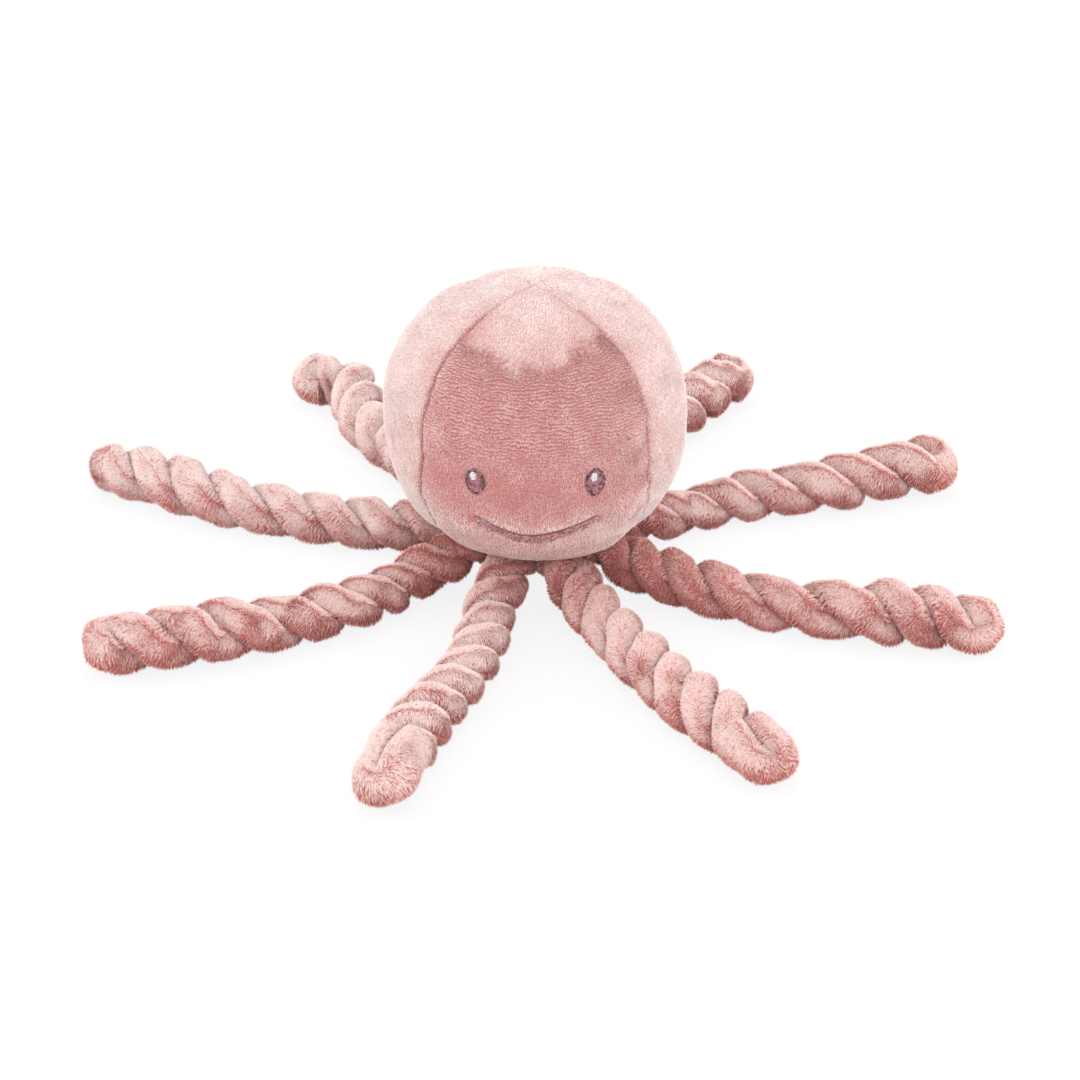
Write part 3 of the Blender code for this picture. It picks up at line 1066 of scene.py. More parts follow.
        # Painted light beside the seams on the front, painted shade beside them on the side panels
        tone = tone + self.seam_painted_light_and_shade * np.exp(-seam / self.seam_painted_reach) * (2 * standing - 1)
        tone = tone + self.patch_tone * WaveNoise(self.patch_length, Seed.PATCHES).at(root)
        # Painted shade on the pinched tufts in the seams' grooves
        tone = tone - self.pinch_painted_shade * pinched
        name = f"velour_pile_{gore.side}"
        mesh = self.tufts.mesh(name, dice, root, normal, lean, -gathered, length, tone)
        pile = add_piece(name, mesh, self.pile)
        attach(pile, "head")
        return pile

    def build_base(self) -> Piece:
        """Build the gathered disc that closes the head underneath.

        Returns:
            The base.
        """
        low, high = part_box("head_base")
        radius = (high[0] - low[0]) / 2
        shares = np.linspace(self.base_opening_share, 1.0, self.base_rings)
        turns = np.arange(self.base_sides) * math.tau / self.base_sides
        share, turn = np.meshgrid(shares, turns, indexing="ij")
        middle = np.array([(low[0] + high[0]) / 2, (low[1] + high[1]) / 2, low[2]])
        flat = (np.cos(turn) * share * radius, np.sin(turn) * share * radius, np.zeros_like(turn))
        place = np.stack(flat, axis=-1)
        gather = WaveNoise(self.base_gather_length, Seed.BASE_GATHERS).at(place)
        place[..., 2] = self.base_gather * gather * share * (1 - share) * 4
        maps = {"cloth": np.tile([0.0, radius], (share.size, 1))}
        mesh = grid_mesh("velour_base", middle + place, True, maps)
        mesh.flip_normals()
        base = add_piece("velour_base", mesh, self.ground)
        thicken(base, high[2] - low[2])
        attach(base, "head")
        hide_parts("head_base")
        return base

    def build_filling(self) -> Piece:
        """Build the fibre ball inside the cover.

        Returns:
            The filling.
        """
        tilt = self.tilts(self.filling_rows)[:, None]
        angle = (np.arange(self.filling_columns) * math.tau / self.filling_columns)[None, :]
        points = self.form.point(angle, tilt, -(self.cloth_thickness + self.filling_gap))
        points[..., 2] = np.maximum(points[..., 2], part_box("head_filling")[0][2])
        mesh = grid_mesh("fibre_filling", points, True)
        mesh.flip_normals()
        filling = add_piece("fibre_filling", mesh, self.fibre)
        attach(filling, "head")
        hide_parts("head_filling")
        return filling

    def build(self) -> None:
        """Build all pieces of the head but the face."""
        for gore in Gore:
            self.build_panel(gore)
            self.build_pile(gore)
        self.build_base()
        self.build_filling()


@dataclass
class Face:
    """Stitched eyes and smile.

    A lift is in thread radii: at the ends of a stitch, and how much more at its middle.
    """

    form: HeadForm
    eye_half_width: float = 0.0034
    eye_half_height: float = 0.0046
    thread_radius: float = 0.00030
    points: int = 9
    short_points: int = 7
    chain_links: int = 21
    link_points: int = 15
    link_half_length: float = 0.0010
    link_half_width: float = 0.00058
    link_length_shares: tuple[float, float] = (0.8, 1.15)
    link_width_shares: tuple[float, float] = (0.7, 1.1)
    link_push: tuple[float, float] = (0.04, 0.10)
    link_turn: float = 0.25
    link_lift: tuple[float, float] = (1.1, 0.5)
    fill_inset: float = 0.0007
    fill_pitch: float = 0.00070
    satin_lift: float = 0.9
    satin_step_share: float = 0.17
    satin_slip: float = 0.00008
    satin_slant: float = 0.0001
    dash_rows: int = 4
    dash_half_length: float = 0.0008
    dash_length_shares: tuple[float, float] = (0.6, 1.2)
    dash_span: tuple[float, float] = (0.28, 0.62)
    dash_places: tuple[float, ...] = (-0.55, 0.1, 0.65)
    dash_slip: float = 0.15
    dash_rise: float = 0.00015
    dash_slant: float = 0.00012
    dash_lift: tuple[float, float] = (1.0, 0.7)
    highlight_pitch: float = 0.00042
    highlight_place: tuple[float, float] = (-0.0005, 0.0019)
    highlight_half_size: tuple[float, float] = (0.0013, 0.0015)
    highlight_lift: float = 1.4
    smile_stitches: int = 36
    smile_length_shares: tuple[float, float] = (0.85, 1.05)
    smile_rows: tuple[float, ...] = (-0.00225, -0.00165, -0.00105, -0.00045, 0.00015)
    smile_gaps: tuple[float, ...] = (0.55, 0.30, 0.12, 0.0, 0.0)
    smile_slant: float = 0.00028
    smile_slip: float = 0.00007
    smile_lift: tuple[float, float] = (0.5, 1.7)
    smile_radius: float = 0.00030
    uneven_lift: float = 0.0002
    heap_stitches: int = 26
    heap_place: tuple[float, float] = (0.0019, -0.0012)
    heap_half_size: tuple[float, float] = (0.0028, 0.0021)
    heap_half_length: float = 0.0006
    heap_lift: tuple[float, float] = (1.0, 1.4)
    fork: tuple[tuple[float, float], ...] = ((0.0018, 0.0009), (0.0024, -0.0002), (0.0021, -0.0022))
    fork_lift: tuple[float, float] = (1.0, 5.0)
    finishes: dict[Thread, Material] = field(default_factory=dict)

    def attach(self, mesh: bpy.types.Mesh, thread: Thread, node: str, slot: str) -> Piece:
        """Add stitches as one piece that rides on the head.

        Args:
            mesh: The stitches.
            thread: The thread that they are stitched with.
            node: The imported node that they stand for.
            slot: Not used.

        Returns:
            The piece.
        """
        if thread not in self.finishes:
            self.finishes[thread] = thread.value.build()
        piece = add_piece(mesh.name, mesh, self.finishes[thread])
        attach(piece, "head")
        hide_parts(node)
        return piece

    def arch(self, lift: tuple[float, float], share: Array) -> Array:
        """Height of a stitch's thread over the cloth, from end to end."""
        return self.thread_radius * (lift[0] + lift[1] * (1 - share**2))

    def chain(self, angle: float) -> list[Array]:
        """Stitch a chain round an eye, each link a flat uneven loop that starts inside the last.

        Args:
            angle: The eye's angle round the head.

        Returns:
            The links.
        """
        dice = np.random.default_rng(Seed.CHAIN)
        runs = []
        loop = np.linspace(0.0, math.tau, self.link_points)
        for link in range(self.chain_links):
            turn = math.tau * link / self.chain_links
            push = 1 + dice.normal(0.0, self.link_push[0]) + self.link_push[1] * max(-math.sin(turn), 0.0)
            right = (self.eye_half_width - self.link_half_width) * math.cos(turn) * push
            above = (self.eye_half_height - self.link_half_width) * math.sin(turn) * push
            heading = math.atan2(self.eye_half_height * math.cos(turn), -self.eye_half_width * math.sin(turn))
            heading += dice.normal(0.0, self.link_turn)
            along = self.link_half_length * dice.uniform(*self.link_length_shares) * np.cos(loop)
            across = self.link_half_width * dice.uniform(*self.link_width_shares) * np.sin(loop)
            x = right + along * math.cos(heading) - across * math.sin(heading)
            y = above + along * math.sin(heading) + across * math.cos(heading)
            lift = self.thread_radius * (self.link_lift[0] + self.link_lift[1] * np.cos(loop))
            runs.append(self.form.face_point(angle, self.form.eye_drop, x, y, lift))
        return runs

    def dashes(self, angle: float) -> list[Array]:
        """Stitch short dark dashes between the level stitches, low in an eye.

        Args:
            angle: The eye's angle round the head.

        Returns:
            The dashes.
        """
        dice = np.random.default_rng(Seed.DASHES)
        share = np.linspace(-1.0, 1.0, self.short_points)
        runs = []
        for row in range(self.dash_rows):
            above = -self.eye_half_height * (self.dash_span[0] + self.dash_span[1] * row / self.dash_rows)
            reach = self.eye_half_width * math.sqrt(1 - (above / self.eye_half_height) ** 2)
            for middle in self.dash_places:
                x = reach * (middle + dice.normal(0.0, self.dash_slip))
                x = x + self.dash_half_length * dice.uniform(*self.dash_length_shares) * share
                y = above + dice.normal(0.0, self.dash_rise) + self.dash_slant * dice.normal() * share
                lift = self.arch(self.dash_lift, share)
                runs.append(self.form.face_point(angle, self.form.eye_drop, x, y, lift))
        return runs

    def satin(
        self, angle: float, middle: tuple[float, float], half: tuple[float, float], base: float, pitch: float
    ) -> list[Array]:
        """Stitch level stitches side by side that fill an oval.

        Args:
            angle: The eye's angle round the head.
            middle: Place of the oval's middle, right and up from the eye's middle.
            half: Half width and half height of the oval.
            base: Height of the thread's centre over the cloth.
            pitch: Distance from stitch to stitch.

        Returns:
            The stitches.
        """
        dice = np.random.default_rng(Seed.SATIN)
        share = np.linspace(-1.0, 1.0, self.points)
        count = int(2 * half[1] / pitch)
        runs = []
        for row in range(count):
            up = -half[1] + (row + 0.5) * 2 * half[1] / count
            reach = half[0] * math.sqrt(1 - (up / half[1]) ** 2)
            x = middle[0] + reach * share + dice.normal(0.0, self.satin_slip)
            y = middle[1] + up + self.satin_slant * share * dice.normal()
            lift = base + self.thread_radius * self.satin_lift * (1 - share**4)
            lift = lift + dice.uniform(0.0, self.satin_step_share) * pitch
            runs.append(self.form.face_point(angle, self.form.eye_drop, x, y, lift))
        return runs

    def build_eye(self, side: str, angle: float) -> None:
        """Build one eye.

        Args:
            side: Left or right, as seen from the front.
            angle: Its angle round the head.
        """
        inner = (self.eye_half_width - self.fill_inset, self.eye_half_height - self.fill_inset)
        glint_base = self.thread_radius * self.highlight_lift
        glint = (angle, self.highlight_place, self.highlight_half_size, glint_base, self.highlight_pitch)
        fill = self.satin(angle, (0.0, 0.0), inner, 0.0, self.fill_pitch)
        chain = self.chain(angle) + self.dashes(angle)
        parts = (
            ("satin", fill, Thread.FILL, "eye_fill", "thread_mauve"),
            ("chain", chain, Thread.OUTLINE, "eye_outline", "thread_dark_mauve"),
            ("glint", self.satin(*glint), Thread.HIGHLIGHT, "eye_highlight", "thread_pale"),
        )
        for name, runs, thread, node, slot in parts:
            mesh = stitch_mesh(f"eye_{name}_{side}", runs, self.thread_radius)
            self.attach(mesh, thread, f"{node}_{side}", f"{slot}_{side}")

    def smile(self) -> list[Array]:
        """Stitch the smile's rows of short slanted stitches.

        Returns:
            The stitches.
        """
        dice = np.random.default_rng(Seed.SMILE)
        share = np.linspace(-1.0, 1.0, self.points)
        runs = []
        for row, rise in enumerate(self.smile_rows):
            for stitch in range(self.smile_stitches):
                place = 2 * (stitch + 0.5 * (row % 2) + 0.25) / self.smile_stitches - 1
                if abs(place) > 1 or dice.random() < self.smile_gaps[row]:
                    continue
                half = dice.uniform(*self.smile_length_shares) / self.smile_stitches
                angle = self.form.mouth_angle * (place + half * share)
                drop = self.form.mouth_drop(angle) - rise - self.smile_slant * share
                drop = drop + dice.normal(0.0, self.smile_slip)
                lift = self.arch(self.smile_lift, share) + dice.uniform(0.0, self.uneven_lift)
                runs.append(self.form.point(angle, self.form.tilt_at_drop(drop), lift))
        return runs

    def heap(self) -> list[Array]:
        """Heap short crossing stitches near the left end of the smile.

        Returns:
            The stitches.
        """
        dice = np.random.default_rng(Seed.HEAP)
        share = np.linspace(-1.0, 1.0, self.short_points)
        end = (-self.form.mouth_angle, self.form.mouth_corner_drop)
        runs = []
        for _ in range(self.heap_stitches):
            turn, out = dice.uniform(0.0, math.tau), math.sqrt(dice.random())
            heading = dice.uniform(0.0, math.pi)
            x = self.heap_place[0] + self.heap_half_size[0] * out * math.cos(turn)
            y = self.heap_place[1] + self.heap_half_size[1] * out * math.sin(turn)
            x = x + self.heap_half_length * math.cos(heading) * share
            y = y + self.heap_half_length * math.sin(heading) * share
            lift = self.arch(self.heap_lift, share) + dice.uniform(0.0, self.uneven_lift)
            runs.append(self.form.face_point(*end, x, y, lift))
        return runs

    def fork_stitches(self) -> list[Array]:
        """Spread single stitches from the right end of the smile.

        Returns:
            The stitches.
        """
        share = np.linspace(0.0, 1.0, self.points)
        lift = self.thread_radius * (self.fork_lift[0] + self.fork_lift[1] * share * (1 - share))
        end = (self.form.mouth_angle, self.form.mouth_corner_drop)
        return [self.form.face_point(*end, right * share, up * share, lift) for right, up in self.fork]

    def build(self) -> None:
        """Build both eyes and the smile."""
        self.build_eye("left", -self.form.eye_angle)
        self.build_eye("right", self.form.eye_angle)
        runs = self.smile() + self.heap() + self.fork_stitches()
        smile = stitch_mesh("smile_stitches", runs, self.smile_radius)
        self.attach(smile, Thread.SMILE, "mouth", "thread_smile")


@dataclass(frozen=True)
class Lie:
    """How one tentacle is twisted and lies.

    The headings, in degrees away from straight out, and the shares of the usual thickness hold at the
    root, the quarters and the outer end. The creases are the distances from the hinge, in millimetres,
    at which the crease between the strands faces up. The pile stands open within the deep reach of the
    hinge and carries painted shade there, under the head. The painted light shift makes the whole pile
    paler with painted light where it is above zero and deeper with painted shade where it is below zero.
    """

    length_share: float
    headings: tuple[float, ...]
    width_shares: tuple[float, ...]
    creases_mm: tuple[float, ...]
    painted_light_shift: float = 0.0
    deep_reach: float = 0.046


LIES = (
    Lie(1.01, (3, 7, -13, -3, -10), (0.88, 0.80, 0.91, 1.02, 1.12),
        (4, 22.5, 41.5, 58.5, 74.5, 94, 111, 131, 151)),
    Lie(0.98, (-1, -4, -17, -15, -18), (0.88, 0.92, 0.98, 1.06, 0.98),
        (9, 26, 43, 60, 77, 93.5, 111, 127.5, 144.5), 0.06),
    Lie(1.04, (8, 22, 10, -16, 88), (0.88, 0.90, 0.95, 1.00, 1.00),
        (8, 25, 42, 59, 76, 93, 110, 127, 144), 0.16),
    Lie(1.07, (8, 9, 2, -11, 2), (0.88, 0.90, 0.93, 1.02, 1.01),
        (8.5, 27, 44.5, 61, 80.5, 100, 119.5, 137.5, 154), 0.16),
    Lie(1.00, (0, 18, 0, -9, -22), (0.90, 0.83, 0.90, 1.05, 0.96),
        (9, 23.5, 34.5, 49, 66, 82.5, 101.5, 118.5, 135), -0.03),
    Lie(0.95, (2, 12, -2, -1, 20), (0.90, 0.88, 0.87, 1.01, 0.98),
        (9.5, 26, 38.5, 53, 66.5, 80, 94, 106.5, 240), 0.10),
    Lie(0.94, (1, 3, 4, 14, 13), (0.90, 0.89, 0.96, 1.00, 0.88),
        (6, 20, 36.5, 53, 68, 83.5, 99, 112, 190), -0.05),
    Lie(1.01, (-6, -9, 6, 12, 0), (0.90, 0.93, 0.89, 1.07, 0.92),
        (8, 22.5, 38, 56.5, 77.5, 99.5, 115, 129, 145.5), -0.08, 0.105),
)
FIRST_TENTACLE_ANGLE = math.radians(24.0)


def eased(values: tuple[float, ...], share: Array) -> Array:
    """Ease along a tentacle between values at the root, the quarters and the end.

    Args:
        values: The values there.
        share: Shares of the tentacle's length.

    Returns:
        The value at each share.
    """
    spans = len(values) - 1
    share = np.clip(share, 0.0, 1.0)
    index = np.minimum((share * spans).astype(int), spans - 1)
    steps = np.array(values, float)
    return steps[index] + (steps[index + 1] - steps[index]) * smooth_step(share * spans - index)


@dataclass(frozen=True)
class RopeRoute:
    """Centre line of one tentacle, from inside the base seam to its outer end."""

    hinge: tuple[float, float, float]
    angle: float
    lie: Lie
    full_length: float = 0.1430
    rope_radius: float = 0.0105
    root_half_height: float = 0.0040
    root_gap: float = 0.0003
    knee_distance: float = 0.0150
    knee_share: float = 1.10
    floor_distance: float = 0.0360
    floor_flat: float = 0.0005
    inner_reach: float = 0.0080
    step: float = 0.0005

    @property
    def length(self) -> float:
        """Length of the tentacle from its hinge to its outer end."""
        return self.full_length * self.lie.length_share

    def width_share(self, distance: Array) -> Array:
        """Share of the usual thickness at these distances."""
        return eased(self.lie.width_shares, distance / self.length)

    def height(self, distance: Array) -> Array:
        """Let the centre line rise from the seam to a knee and sink to the ground.

        Args:
            distance: Distances along it from the hinge.

        Returns:
            Height over the ground at each distance.
        """
        radius = self.rope_radius * self.width_share(distance)
        root = self.hinge[2] - self.root_gap - self.root_half_height
        near = root + (radius * self.knee_share - root) * smooth_step(distance / self.knee_distance)
        span = self.floor_distance - self.knee_distance
        ease = smooth_step((distance - self.knee_distance) / span)
        far = radius * self.knee_share + (radius - self.floor_flat - radius * self.knee_share) * ease
        return np.where(distance < self.knee_distance, near, far)

    def twist(self, distance: Array) -> Array:
        """Turn the strands half a turn from crease to crease.

        Args:
            distance: Distances along the centre line from the hinge.

        Returns:
            Turn of the first strand round the centre line.
        """
        creases = np.array(self.lie.creases_mm) / 1000
        steps = np.arange(len(creases))
        inner = (distance - creases[0]) / (creases[2] - creases[0]) * 2
        outer = steps[-1] + (distance - creases[-1]) / (creases[-1] - creases[-3]) * 2
        turns = np.interp(distance, creases, steps)
        turns = np.where(distance < creases[0], inner, np.where(distance > creases[-1], outer, turns))
        return turns * math.pi

    def frames(self, distance: Array) -> tuple[Array, Array, Array, Array]:
        """Centre and the forward, sideways and upward directions.

        Args:
            distance: Distances along the centre line from the hinge, below zero inside the seam.

        Returns:
            Centre, forward, sideways and upward, each with x, y and z last.
        """
        table = np.arange(-self.inner_reach, self.length + self.step, self.step)
        heading = self.angle + np.radians(eased(self.lie.headings, table / self.length))
        ahead = np.stack([np.cos(heading), np.sin(heading)], axis=1)
        flat = np.concatenate([np.zeros((1, 2)), np.cumsum((ahead[1:] + ahead[:-1]) / 2 * self.step, axis=0)])
        start = np.array([np.interp(0.0, table, flat[:, k]) for k in (0, 1)])
        flat = flat - start + np.array(self.hinge[:2])
        centre = np.column_stack([flat, self.height(table)])
        forward = unit(np.gradient(centre, axis=0))

        def at(values: Array) -> Array:
            """Values of the table at the wanted distances."""
            columns = [np.interp(np.ravel(distance), table, values[:, k]) for k in range(3)]
            return np.stack(columns, axis=-1).reshape(*np.shape(distance), 3)

        forward_at = unit(at(forward))
        sideways = unit(np.cross((0.0, 0.0, 1.0), forward_at))
        return at(centre), forward_at, sideways, np.cross(forward_at, sideways)


@dataclass
class Tube:
    """A grid over one stuffed tube: places, directions along it, outward normals and what is bare.

    What is bare is the height over the face between the strands.
    """

    points: Array
    ahead: Array
    normals: Array
    bare: Array

    @classmethod
    def from_points(cls, points: Array, bare: Array) -> "Tube":
        """Work out the directions of a grid of places.

        Args:
            points: Places, rows along the tube and columns round it.
            bare: Height over the face between the strands.

        Returns:
            The grid.
        """
        ahead = unit(np.gradient(points, axis=0))
        around = np.roll(points, -1, axis=1) - np.roll(points, 1, axis=1)
        return cls(points, ahead, unit(np.cross(around, ahead)), bare)

    def sample(self, values: Array, row: Array, column: Array) -> Array:
        """Read values between the grid's places.

        Args:
            values: The grid's values.
            row: Rows, with fractions.
            column: Columns, with fractions.

        Returns:
            One row of values for each place.
        """
        rows, columns = self.points.shape[:2]
        low = np.clip(row.astype(int), 0, rows - 2)
        near = column.astype(int) % columns
        far = (near + 1) % columns
        down, over = (row - low)[:, None], (column - np.floor(column))[:, None]
        values = values.reshape(rows, columns, -1)
        first = values[low, near] * (1 - over) + values[low, far] * over
        second = values[low + 1, near] * (1 - over) + values[low + 1, far] * over
        return first * (1 - down) + second * down


@dataclass
class Tentacle:
    """One tentacle: a stuffed fleece tube folded in half and twisted on itself, with its pile."""

    number: int
    route: RopeRoute
    ground: Material
    pile: Material
    strand_offset: float = 0.0041
    strand_radius: float = 0.0057
    strand_stretch: float = 1.24
    crease_softness: float = 0.0005
    start_inside: float = -0.0060
    loop_length: float = 0.0150
    root_half_width: float = 0.0094
    root_half_height: float = 0.0048
    root_taper: float = 0.0130
    blend_reach: tuple[float, float] = (0.004, 0.010)
    rest_height: float = 0.0003
    lump_height: float = 0.00035
    lump_length: float = 0.011
    lump_clear: float = 0.002
    softness: float = 0.7
    rows: int = 1260
    columns: int = 96
    cover_steps: tuple[int, int] = (3, 2)
    tufts: Tufts = Tufts(length=0.0013, radius=0.00020)
    hidden_height: float = 0.0003
    crest_comb: tuple[float, float, float] = (0.7, 0.9, 0.0)
    comb_turn: float = 3.0
    smooth_rise: float = 0.28
    open_rise: float = 0.85
    under_rise: float = 0.6
    open_length: float = 0.014
    open_share: float = 0.54
    open_noise: float = 0.32
    crest_share: float = 0.62
    tone: float = 0.80
    # Painted shade in the gaps between the ridges, and a deeper tone with painted shade where the pile stands
    # open
    gap_painted_shade: float = 0.10
    open_tone_and_shade: float = 0.05
    open_gap_painted_shade: float = 0.42
    # Painted shade on the flanks and undersides, away from the top light
    flank_painted_shade: float = 0.20
    flank_slope: float = 0.55
    under_painted_shade: float = 0.32
    under_slope: float = 0.3
    # Painted shade near the hinge, under the head, and in the crease between the strands
    root_painted_shade: float = 0.24
    crease_painted_shade: float = 0.45
    crease_reach: float = 0.0022
    crest_length: float = 1.1
    gap_shortening: float = 0.4
    fringe_share: float = 0.40
    gap_thinning: float = 0.9
    gap_edge: float = 0.55
    gap_blend: float = 0.3
    ridge_pitch: float = 0.00095
    ridge_gather: tuple[float, float] = (0.3, 0.6)
    ridge_wave: float = 1.2
    ridge_wave_length: float = 0.009
    ridge_break: float = 0.16
    ridge_break_length: float = 0.0024

    @property
    def straight(self) -> float:
        """Length of rope before the fold."""
        return self.route.length - self.strand_offset - self.strand_radius - self.start_inside

    @property
    def tube_length(self) -> float:
        """Length along the tube: out, round the fold and back."""
        return 2 * self.straight + self.loop_length

    def build_tube(self) -> Tube:
        """Lay the tube's surface: out, round the fold and back, each strand flattened on the other.

        Returns:
            The surface.
        """
        along = np.linspace(0.0, self.tube_length, self.rows)[:, None]
        turn = (np.arange(self.columns) * math.tau / self.columns)[None, :]
        along, turn = np.broadcast_arrays(along, turn)
        fold = np.clip((along - self.straight) / self.loop_length, 0.0, 1.0) * math.pi
        back = np.maximum(along - self.straight - self.loop_length, 0.0)
        distance = self.start_inside + np.minimum(along, self.straight) - back
        centre, forward, sideways, upward = self.route.frames(distance)

        twist = self.route.twist(distance)
        radial = sideways * np.cos(twist)[..., None] + upward * np.sin(twist)[..., None]
        across = -sideways * np.sin(twist)[..., None] + upward * np.cos(twist)[..., None]
        share = self.route.width_share(distance)
        stretch = 1 + (self.strand_stretch - 1) * np.abs(np.cos(fold))
        bare = self.strand_offset + self.strand_radius * np.cos(turn)
        outward = self.crease_softness * np.logaddexp(0.0, bare / self.crease_softness)
        wide = self.strand_radius * stretch * np.sin(turn)
        direction = radial * np.cos(fold)[..., None] + forward * np.sin(fold)[..., None]
        spoke = (direction * outward[..., None] + across * wide[..., None]) * share[..., None]

        grown = np.sin(np.clip(distance / self.root_taper, 0.0, 1.0) * math.pi / 2)
        rope_radius = self.route.rope_radius * share
        width = (self.root_half_width + (rope_radius - self.root_half_width) * grown) / rope_radius
        height = (self.root_half_height + (rope_radius - self.root_half_height) * grown) / rope_radius
        side_part = (spoke * sideways).sum(-1, keepdims=True) * sideways
        up_part = (spoke * upward).sum(-1, keepdims=True) * upward
        rest_part = spoke - side_part - up_part
        points = centre + rest_part + side_part * width[..., None] + up_part * height[..., None]
        tube = Tube.from_points(points, bare)
        lumps = self.lump_height * WaveNoise(self.lump_length, Seed.ROPE_LUMPS + self.number).at(points)
        points = points + tube.normals * (lumps * smooth_step(bare / self.lump_clear) * grown)[..., None]
        points[..., 2] = np.maximum(points[..., 2], self.rest_height)
        return Tube.from_points(points, bare)

    def attach(self, piece: Piece) -> None:
        """Bake a piece's placement into its mesh.

        Args:
            piece: The piece.
        """
        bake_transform(piece)

    def build_cover(self, tube: Tube) -> Piece:
        """Build the fleece tube.

        Args:
            tube: The tube's surface.

        Returns:
            The tube's piece.
        """
        points = tube.points[:: self.cover_steps[0], :: self.cover_steps[1]]
        name = f"fleece_tube_{self.number}"
        cover = add_piece(name, grid_mesh(name, points, True), self.ground)
        self.attach(cover)
        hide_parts(f"tentacle_{self.number}")
        return cover

    def build_pile(self, tube: Tube) -> Piece:
        """Build the tufts, combed in curving ridges that stand open in patches.

        Args:
            tube: The tube's surface.

        Returns:
            The pile.
        """
        dice = np.random.default_rng(Seed.FLEECE_TUFTS + self.number)
        row = dice.uniform(0.0, self.rows - 1.001, self.tufts.count * 2)
        column = dice.uniform(0.0, self.columns, self.tufts.count * 2)
        shown = tube.sample(tube.bare, row, column)[:, 0] > self.hidden_height
        row, column = row[shown][: self.tufts.count], column[shown][: self.tufts.count]
        root = tube.sample(tube.points, row, column)
        normal = unit(tube.sample(tube.normals, row, column))
        ahead = unit(tube.sample(tube.ahead, row, column))
        around = np.cross(normal, ahead)
        fallwise = np.tanh(-self.comb_turn * around[:, 2:])
        brushed = np.array(self.crest_comb) - normal * (normal @ np.array(self.crest_comb))[:, None]
        comb = around * fallwise + brushed * (1 - np.abs(fallwise))
        ridge = row / (self.rows - 1) * self.tube_length / self.ridge_pitch
        waves = WaveNoise(self.ridge_wave_length, Seed.RIDGE_WAVES + self.number)
        breaks = WaveNoise(self.ridge_break_length, Seed.RIDGE_BREAKS + self.number)
        ridge += self.ridge_wave * waves.at(root)
        ridge += self.ridge_break * breaks.at(root)
        off = ridge - np.round(ridge)

        crease = 1 - smooth_step(tube.sample(tube.bare, row, column)[:, 0] / self.crease_reach)
        near = np.linalg.norm(root - np.array(self.route.hinge), axis=1) / self.route.lie.deep_reach
        near = 1 - smooth_step(near)
        uneven = self.open_noise * WaveNoise(self.open_length, Seed.OPENINGS + self.number).at(root)
        opened = np.maximum(smooth_step(self.open_share - self.crest_share * normal[:, 2] + uneven), near)
        under = smooth_step(self.under_slope - normal[:, 2])
        shaded_flank = smooth_step(self.flank_slope - normal[:, 2])
        rise = self.smooth_rise + (self.open_rise - self.smooth_rise) * opened + self.under_rise * under
        lean = normal * rise[:, None] + comb
        gather = self.ridge_gather[0] + self.ridge_gather[1] * opened
        shift = -ahead * (self.ridge_pitch * off * gather)[:, None]
        gap = 2 * np.abs(off)
        share = (self.crest_length - self.gap_shortening * gap * opened) * (1 + self.fringe_share * under)
        # Painted shade in the gaps between the ridges, deeper still where the pile stands open. Open pile is
        # also deeper in uneven patches, and since it opens least on top faces this paints the tops paler than
        # the flanks and undersides
        tone = self.tone - self.gap_painted_shade * gap - opened * (self.open_tone_and_shade + self.open_gap_painted_shade * gap)
        # Painted shade near the hinge, under the head, and in the crease between the strands
        tone = tone - self.root_painted_shade * near - self.crease_painted_shade * crease
        # Painted shade on the flanks and undersides, away from the top light
        tone -= self.flank_painted_shade * shaded_flank + self.under_painted_shade * under
        # Painted light on some tentacles and painted shade on others
        tone += self.route.lie.painted_light_shift
        thinned = self.gap_thinning * opened * smooth_step((gap - self.gap_edge) / self.gap_blend)
        kept = dice.random(len(root)) > thinned
        parts = (values[kept] for values in (root, normal, lean, shift, share, tone))
        name = f"fleece_pile_{self.number}"
        pile = add_piece(name, self.tufts.mesh(name, dice, *parts, lowest=self.rest_height / 2), self.pile)
        self.attach(pile)
        return pile

    def build(self) -> None:
        """Build the tube and its pile."""
        tube = self.build_tube()
        self.build_cover(tube)
        self.build_pile(tube)


@dataclass(frozen=True)
class Softbox:
    """One square softbox that points at the head."""

    name: str
    place: tuple[float, float, float]
    side: float
    watts: float
    target: tuple[float, float, float] = (0.0, 0.0, 0.05)

    def build(self) -> None:
        """Add the lamp."""
        data = bpy.data.lights.new(self.name, "AREA")
        data.shape = "SQUARE"
        data.size = self.side
        data.energy = self.watts
        lamp = bpy.data.objects.new(self.name, data)
        lamp.location = self.place
        lamp.rotation_euler = (Vector(self.target) - Vector(self.place)).to_track_quat("-Z", "Y").to_euler()
        lamp.visible_camera = False
        bpy.context.scene.collection.objects.link(lamp)


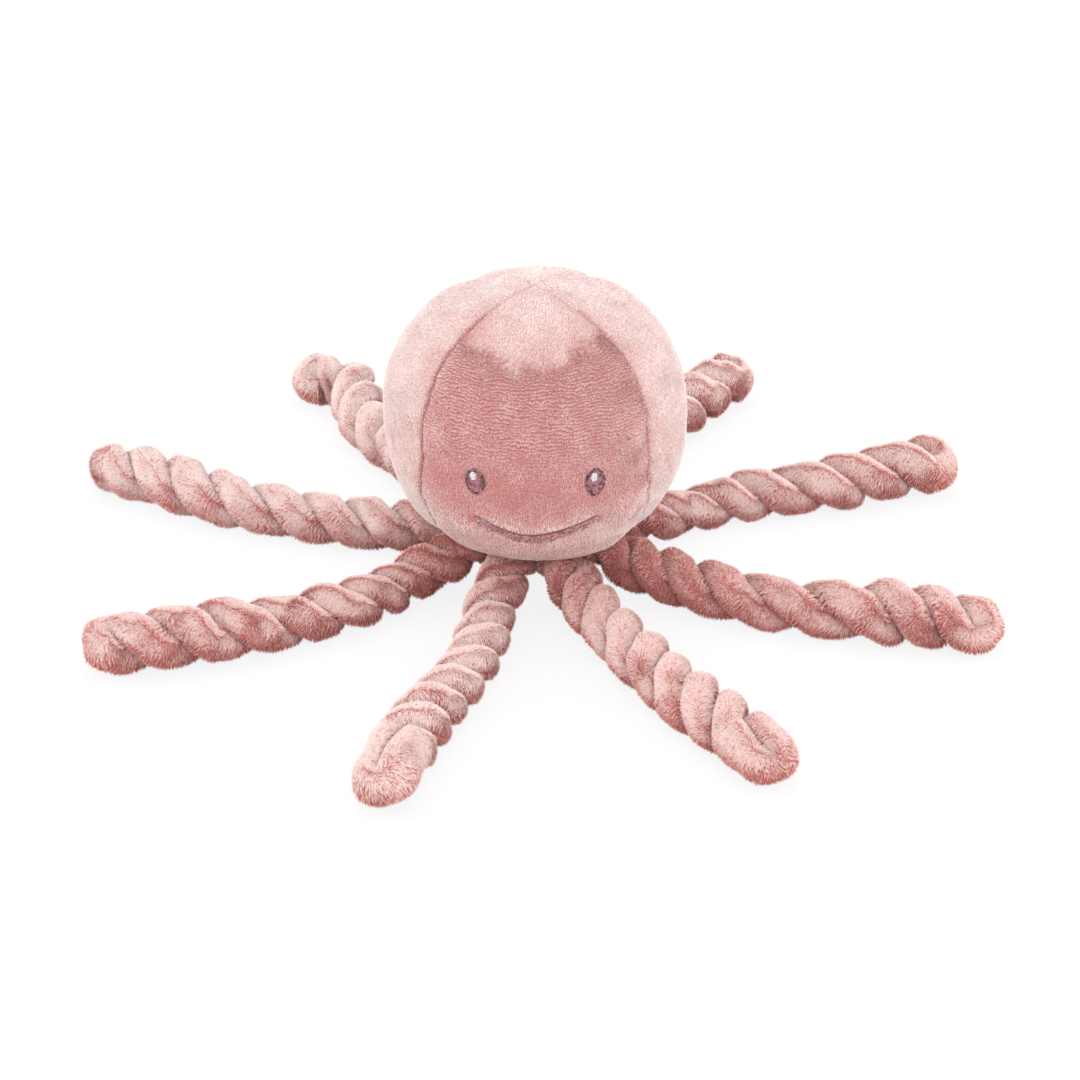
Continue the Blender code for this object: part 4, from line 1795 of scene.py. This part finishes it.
@dataclass(frozen=True)
class Studio:
    """Pale floor, soft light and the camera."""

    head_centre: tuple[float, float, float]
    aim_offset: tuple[float, float, float] = (0.00174, -0.02231, -0.03862)
    distance: float = 0.9
    elevation: float = math.radians(30.0)
    lens_mm: float = 86.1
    sensor_mm: float = 36.0
    clip_end: float = 10.0
    floor_half_side: float = 4.0
    shadow_share: float = 0.15
    white: str = "#FFFFFF"
    bounce: str = "#E6E0DD"
    soft_light: str = "#FFFDFC"
    soft_strength: float = 0.93
    lamps: tuple[Softbox, ...] = (
        Softbox("softbox_top", (-0.10, 0.50, 1.2), 0.9, 3.3),
        Softbox("softbox_front", (0.3, -1.4, 0.7), 1.0, 4.9),
        Softbox("softbox_left", (-1.3, -0.1, 0.6), 1.0, 5.8),
        Softbox("softbox_right", (1.3, -0.1, 0.6), 1.0, 4.9),
    )

    def build_camera(self) -> None:
        """Add the camera, level with the photograph's view."""
        data = bpy.data.cameras.new("camera")
        data.lens = self.lens_mm
        data.sensor_width = self.sensor_mm
        data.clip_end = self.clip_end
        camera = bpy.data.objects.new("camera", data)
        back = Vector((0.0, -math.cos(self.elevation), math.sin(self.elevation)))
        camera.location = Vector(self.head_centre) + Vector(self.aim_offset) + back * self.distance
        camera.rotation_euler = (math.pi / 2 - self.elevation, 0.0, 0.0)
        bpy.context.scene.collection.objects.link(camera)
        bpy.context.scene.camera = camera

    def build_floor(self) -> None:
        """Add the floor, white to the eye, which keeps a faint shadow."""
        # Matt paper gives no gloss, and the light that it throws back on the toy is a little warm
        material, tree = new_material("studio_paper_matt_white")
        rays = add_node(tree, "LightPath").outputs
        lit = add_node(tree, "BsdfDiffuse", {"Color": linear_colour(self.white)}).outputs["BSDF"]
        plain = {"Color": linear_colour(self.white), "Strength": 1.0}
        plain = add_node(tree, "Emission", plain).outputs["Emission"]
        seen = add_node(tree, "MixShader", {0: self.shadow_share, 1: plain, 2: lit}).outputs["Shader"]
        bounce = add_node(tree, "BsdfDiffuse", {"Color": linear_colour(self.bounce)}).outputs["BSDF"]
        eye_ray = {0: rays["Is Camera Ray"], 1: rays["Is Glossy Ray"]}
        eye_ray = add_node(tree, "Math", eye_ray, operation="MAXIMUM").outputs["Value"]
        both = add_node(tree, "MixShader", {0: eye_ray, 1: bounce, 2: seen}).outputs["Shader"]
        add_node(tree, "OutputMaterial", {"Surface": both})
        corners = np.array([[-1, -1, 0], [1, -1, 0], [1, 1, 0], [-1, 1, 0]]) * self.floor_half_side
        floor = add_piece("floor", mesh_from_faces("floor", corners, np.array([[0, 1, 2, 3]])), material)

    def build_world(self) -> None:
        """Light everything softly from all round, and show plain white behind."""
        world = bpy.data.worlds.new("studio")
        world.use_nodes = True
        tree = world.node_tree
        tree.nodes.clear()
        eye_ray = add_node(tree, "LightPath").outputs["Is Camera Ray"]
        soft = {"Color": linear_colour(self.soft_light), "Strength": self.soft_strength}
        soft = add_node(tree, "Background", soft).outputs["Background"]
        white = {"Color": linear_colour(self.white), "Strength": 1.0}
        white = add_node(tree, "Background", white).outputs["Background"]
        both = add_node(tree, "MixShader", {0: eye_ray, 1: soft, 2: white}).outputs["Shader"]
        add_node(tree, "OutputWorld", {"Surface": both})
        bpy.context.scene.world = world

    def build(self) -> None:
        """Build the floor, the light and the camera."""
        self.build_camera()
        self.build_floor()
        self.build_world()
        for lamp in self.lamps:
            lamp.build()
        bpy.context.scene.view_settings.view_transform = "Standard"
        LOG.info("made the studio")


def joint_hinge(number: int) -> tuple[float, float, float]:
    """Place of the hinge that a tentacle bends at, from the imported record."""
    joint = next(item for item in frame["joints"] if item["child"] == f"tentacle_{number}")
    return tuple(joint["pos_m"])


def main() -> None:
    """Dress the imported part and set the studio."""
    logging.basicConfig(level=logging.INFO, format="%(message)s")
    form = HeadForm.from_frame()
    Head(form, Cloth.VELOUR.value.build(), Pile.VELOUR.value.build(), Cloth.FIBRE.value.build()).build()
    Face(form).build()
    ground, pile = Cloth.FLEECE.value.build(), Pile.FLEECE.value.build()
    for index, lie in enumerate(LIES):
        angle = FIRST_TENTACLE_ANGLE + math.tau * index / len(LIES)
        route = RopeRoute(joint_hinge(index + 1), angle, lie)
        Tentacle(index + 1, route, ground, pile).build()
    Studio(form.centre).build()


if __name__ == "__main__":
    main()
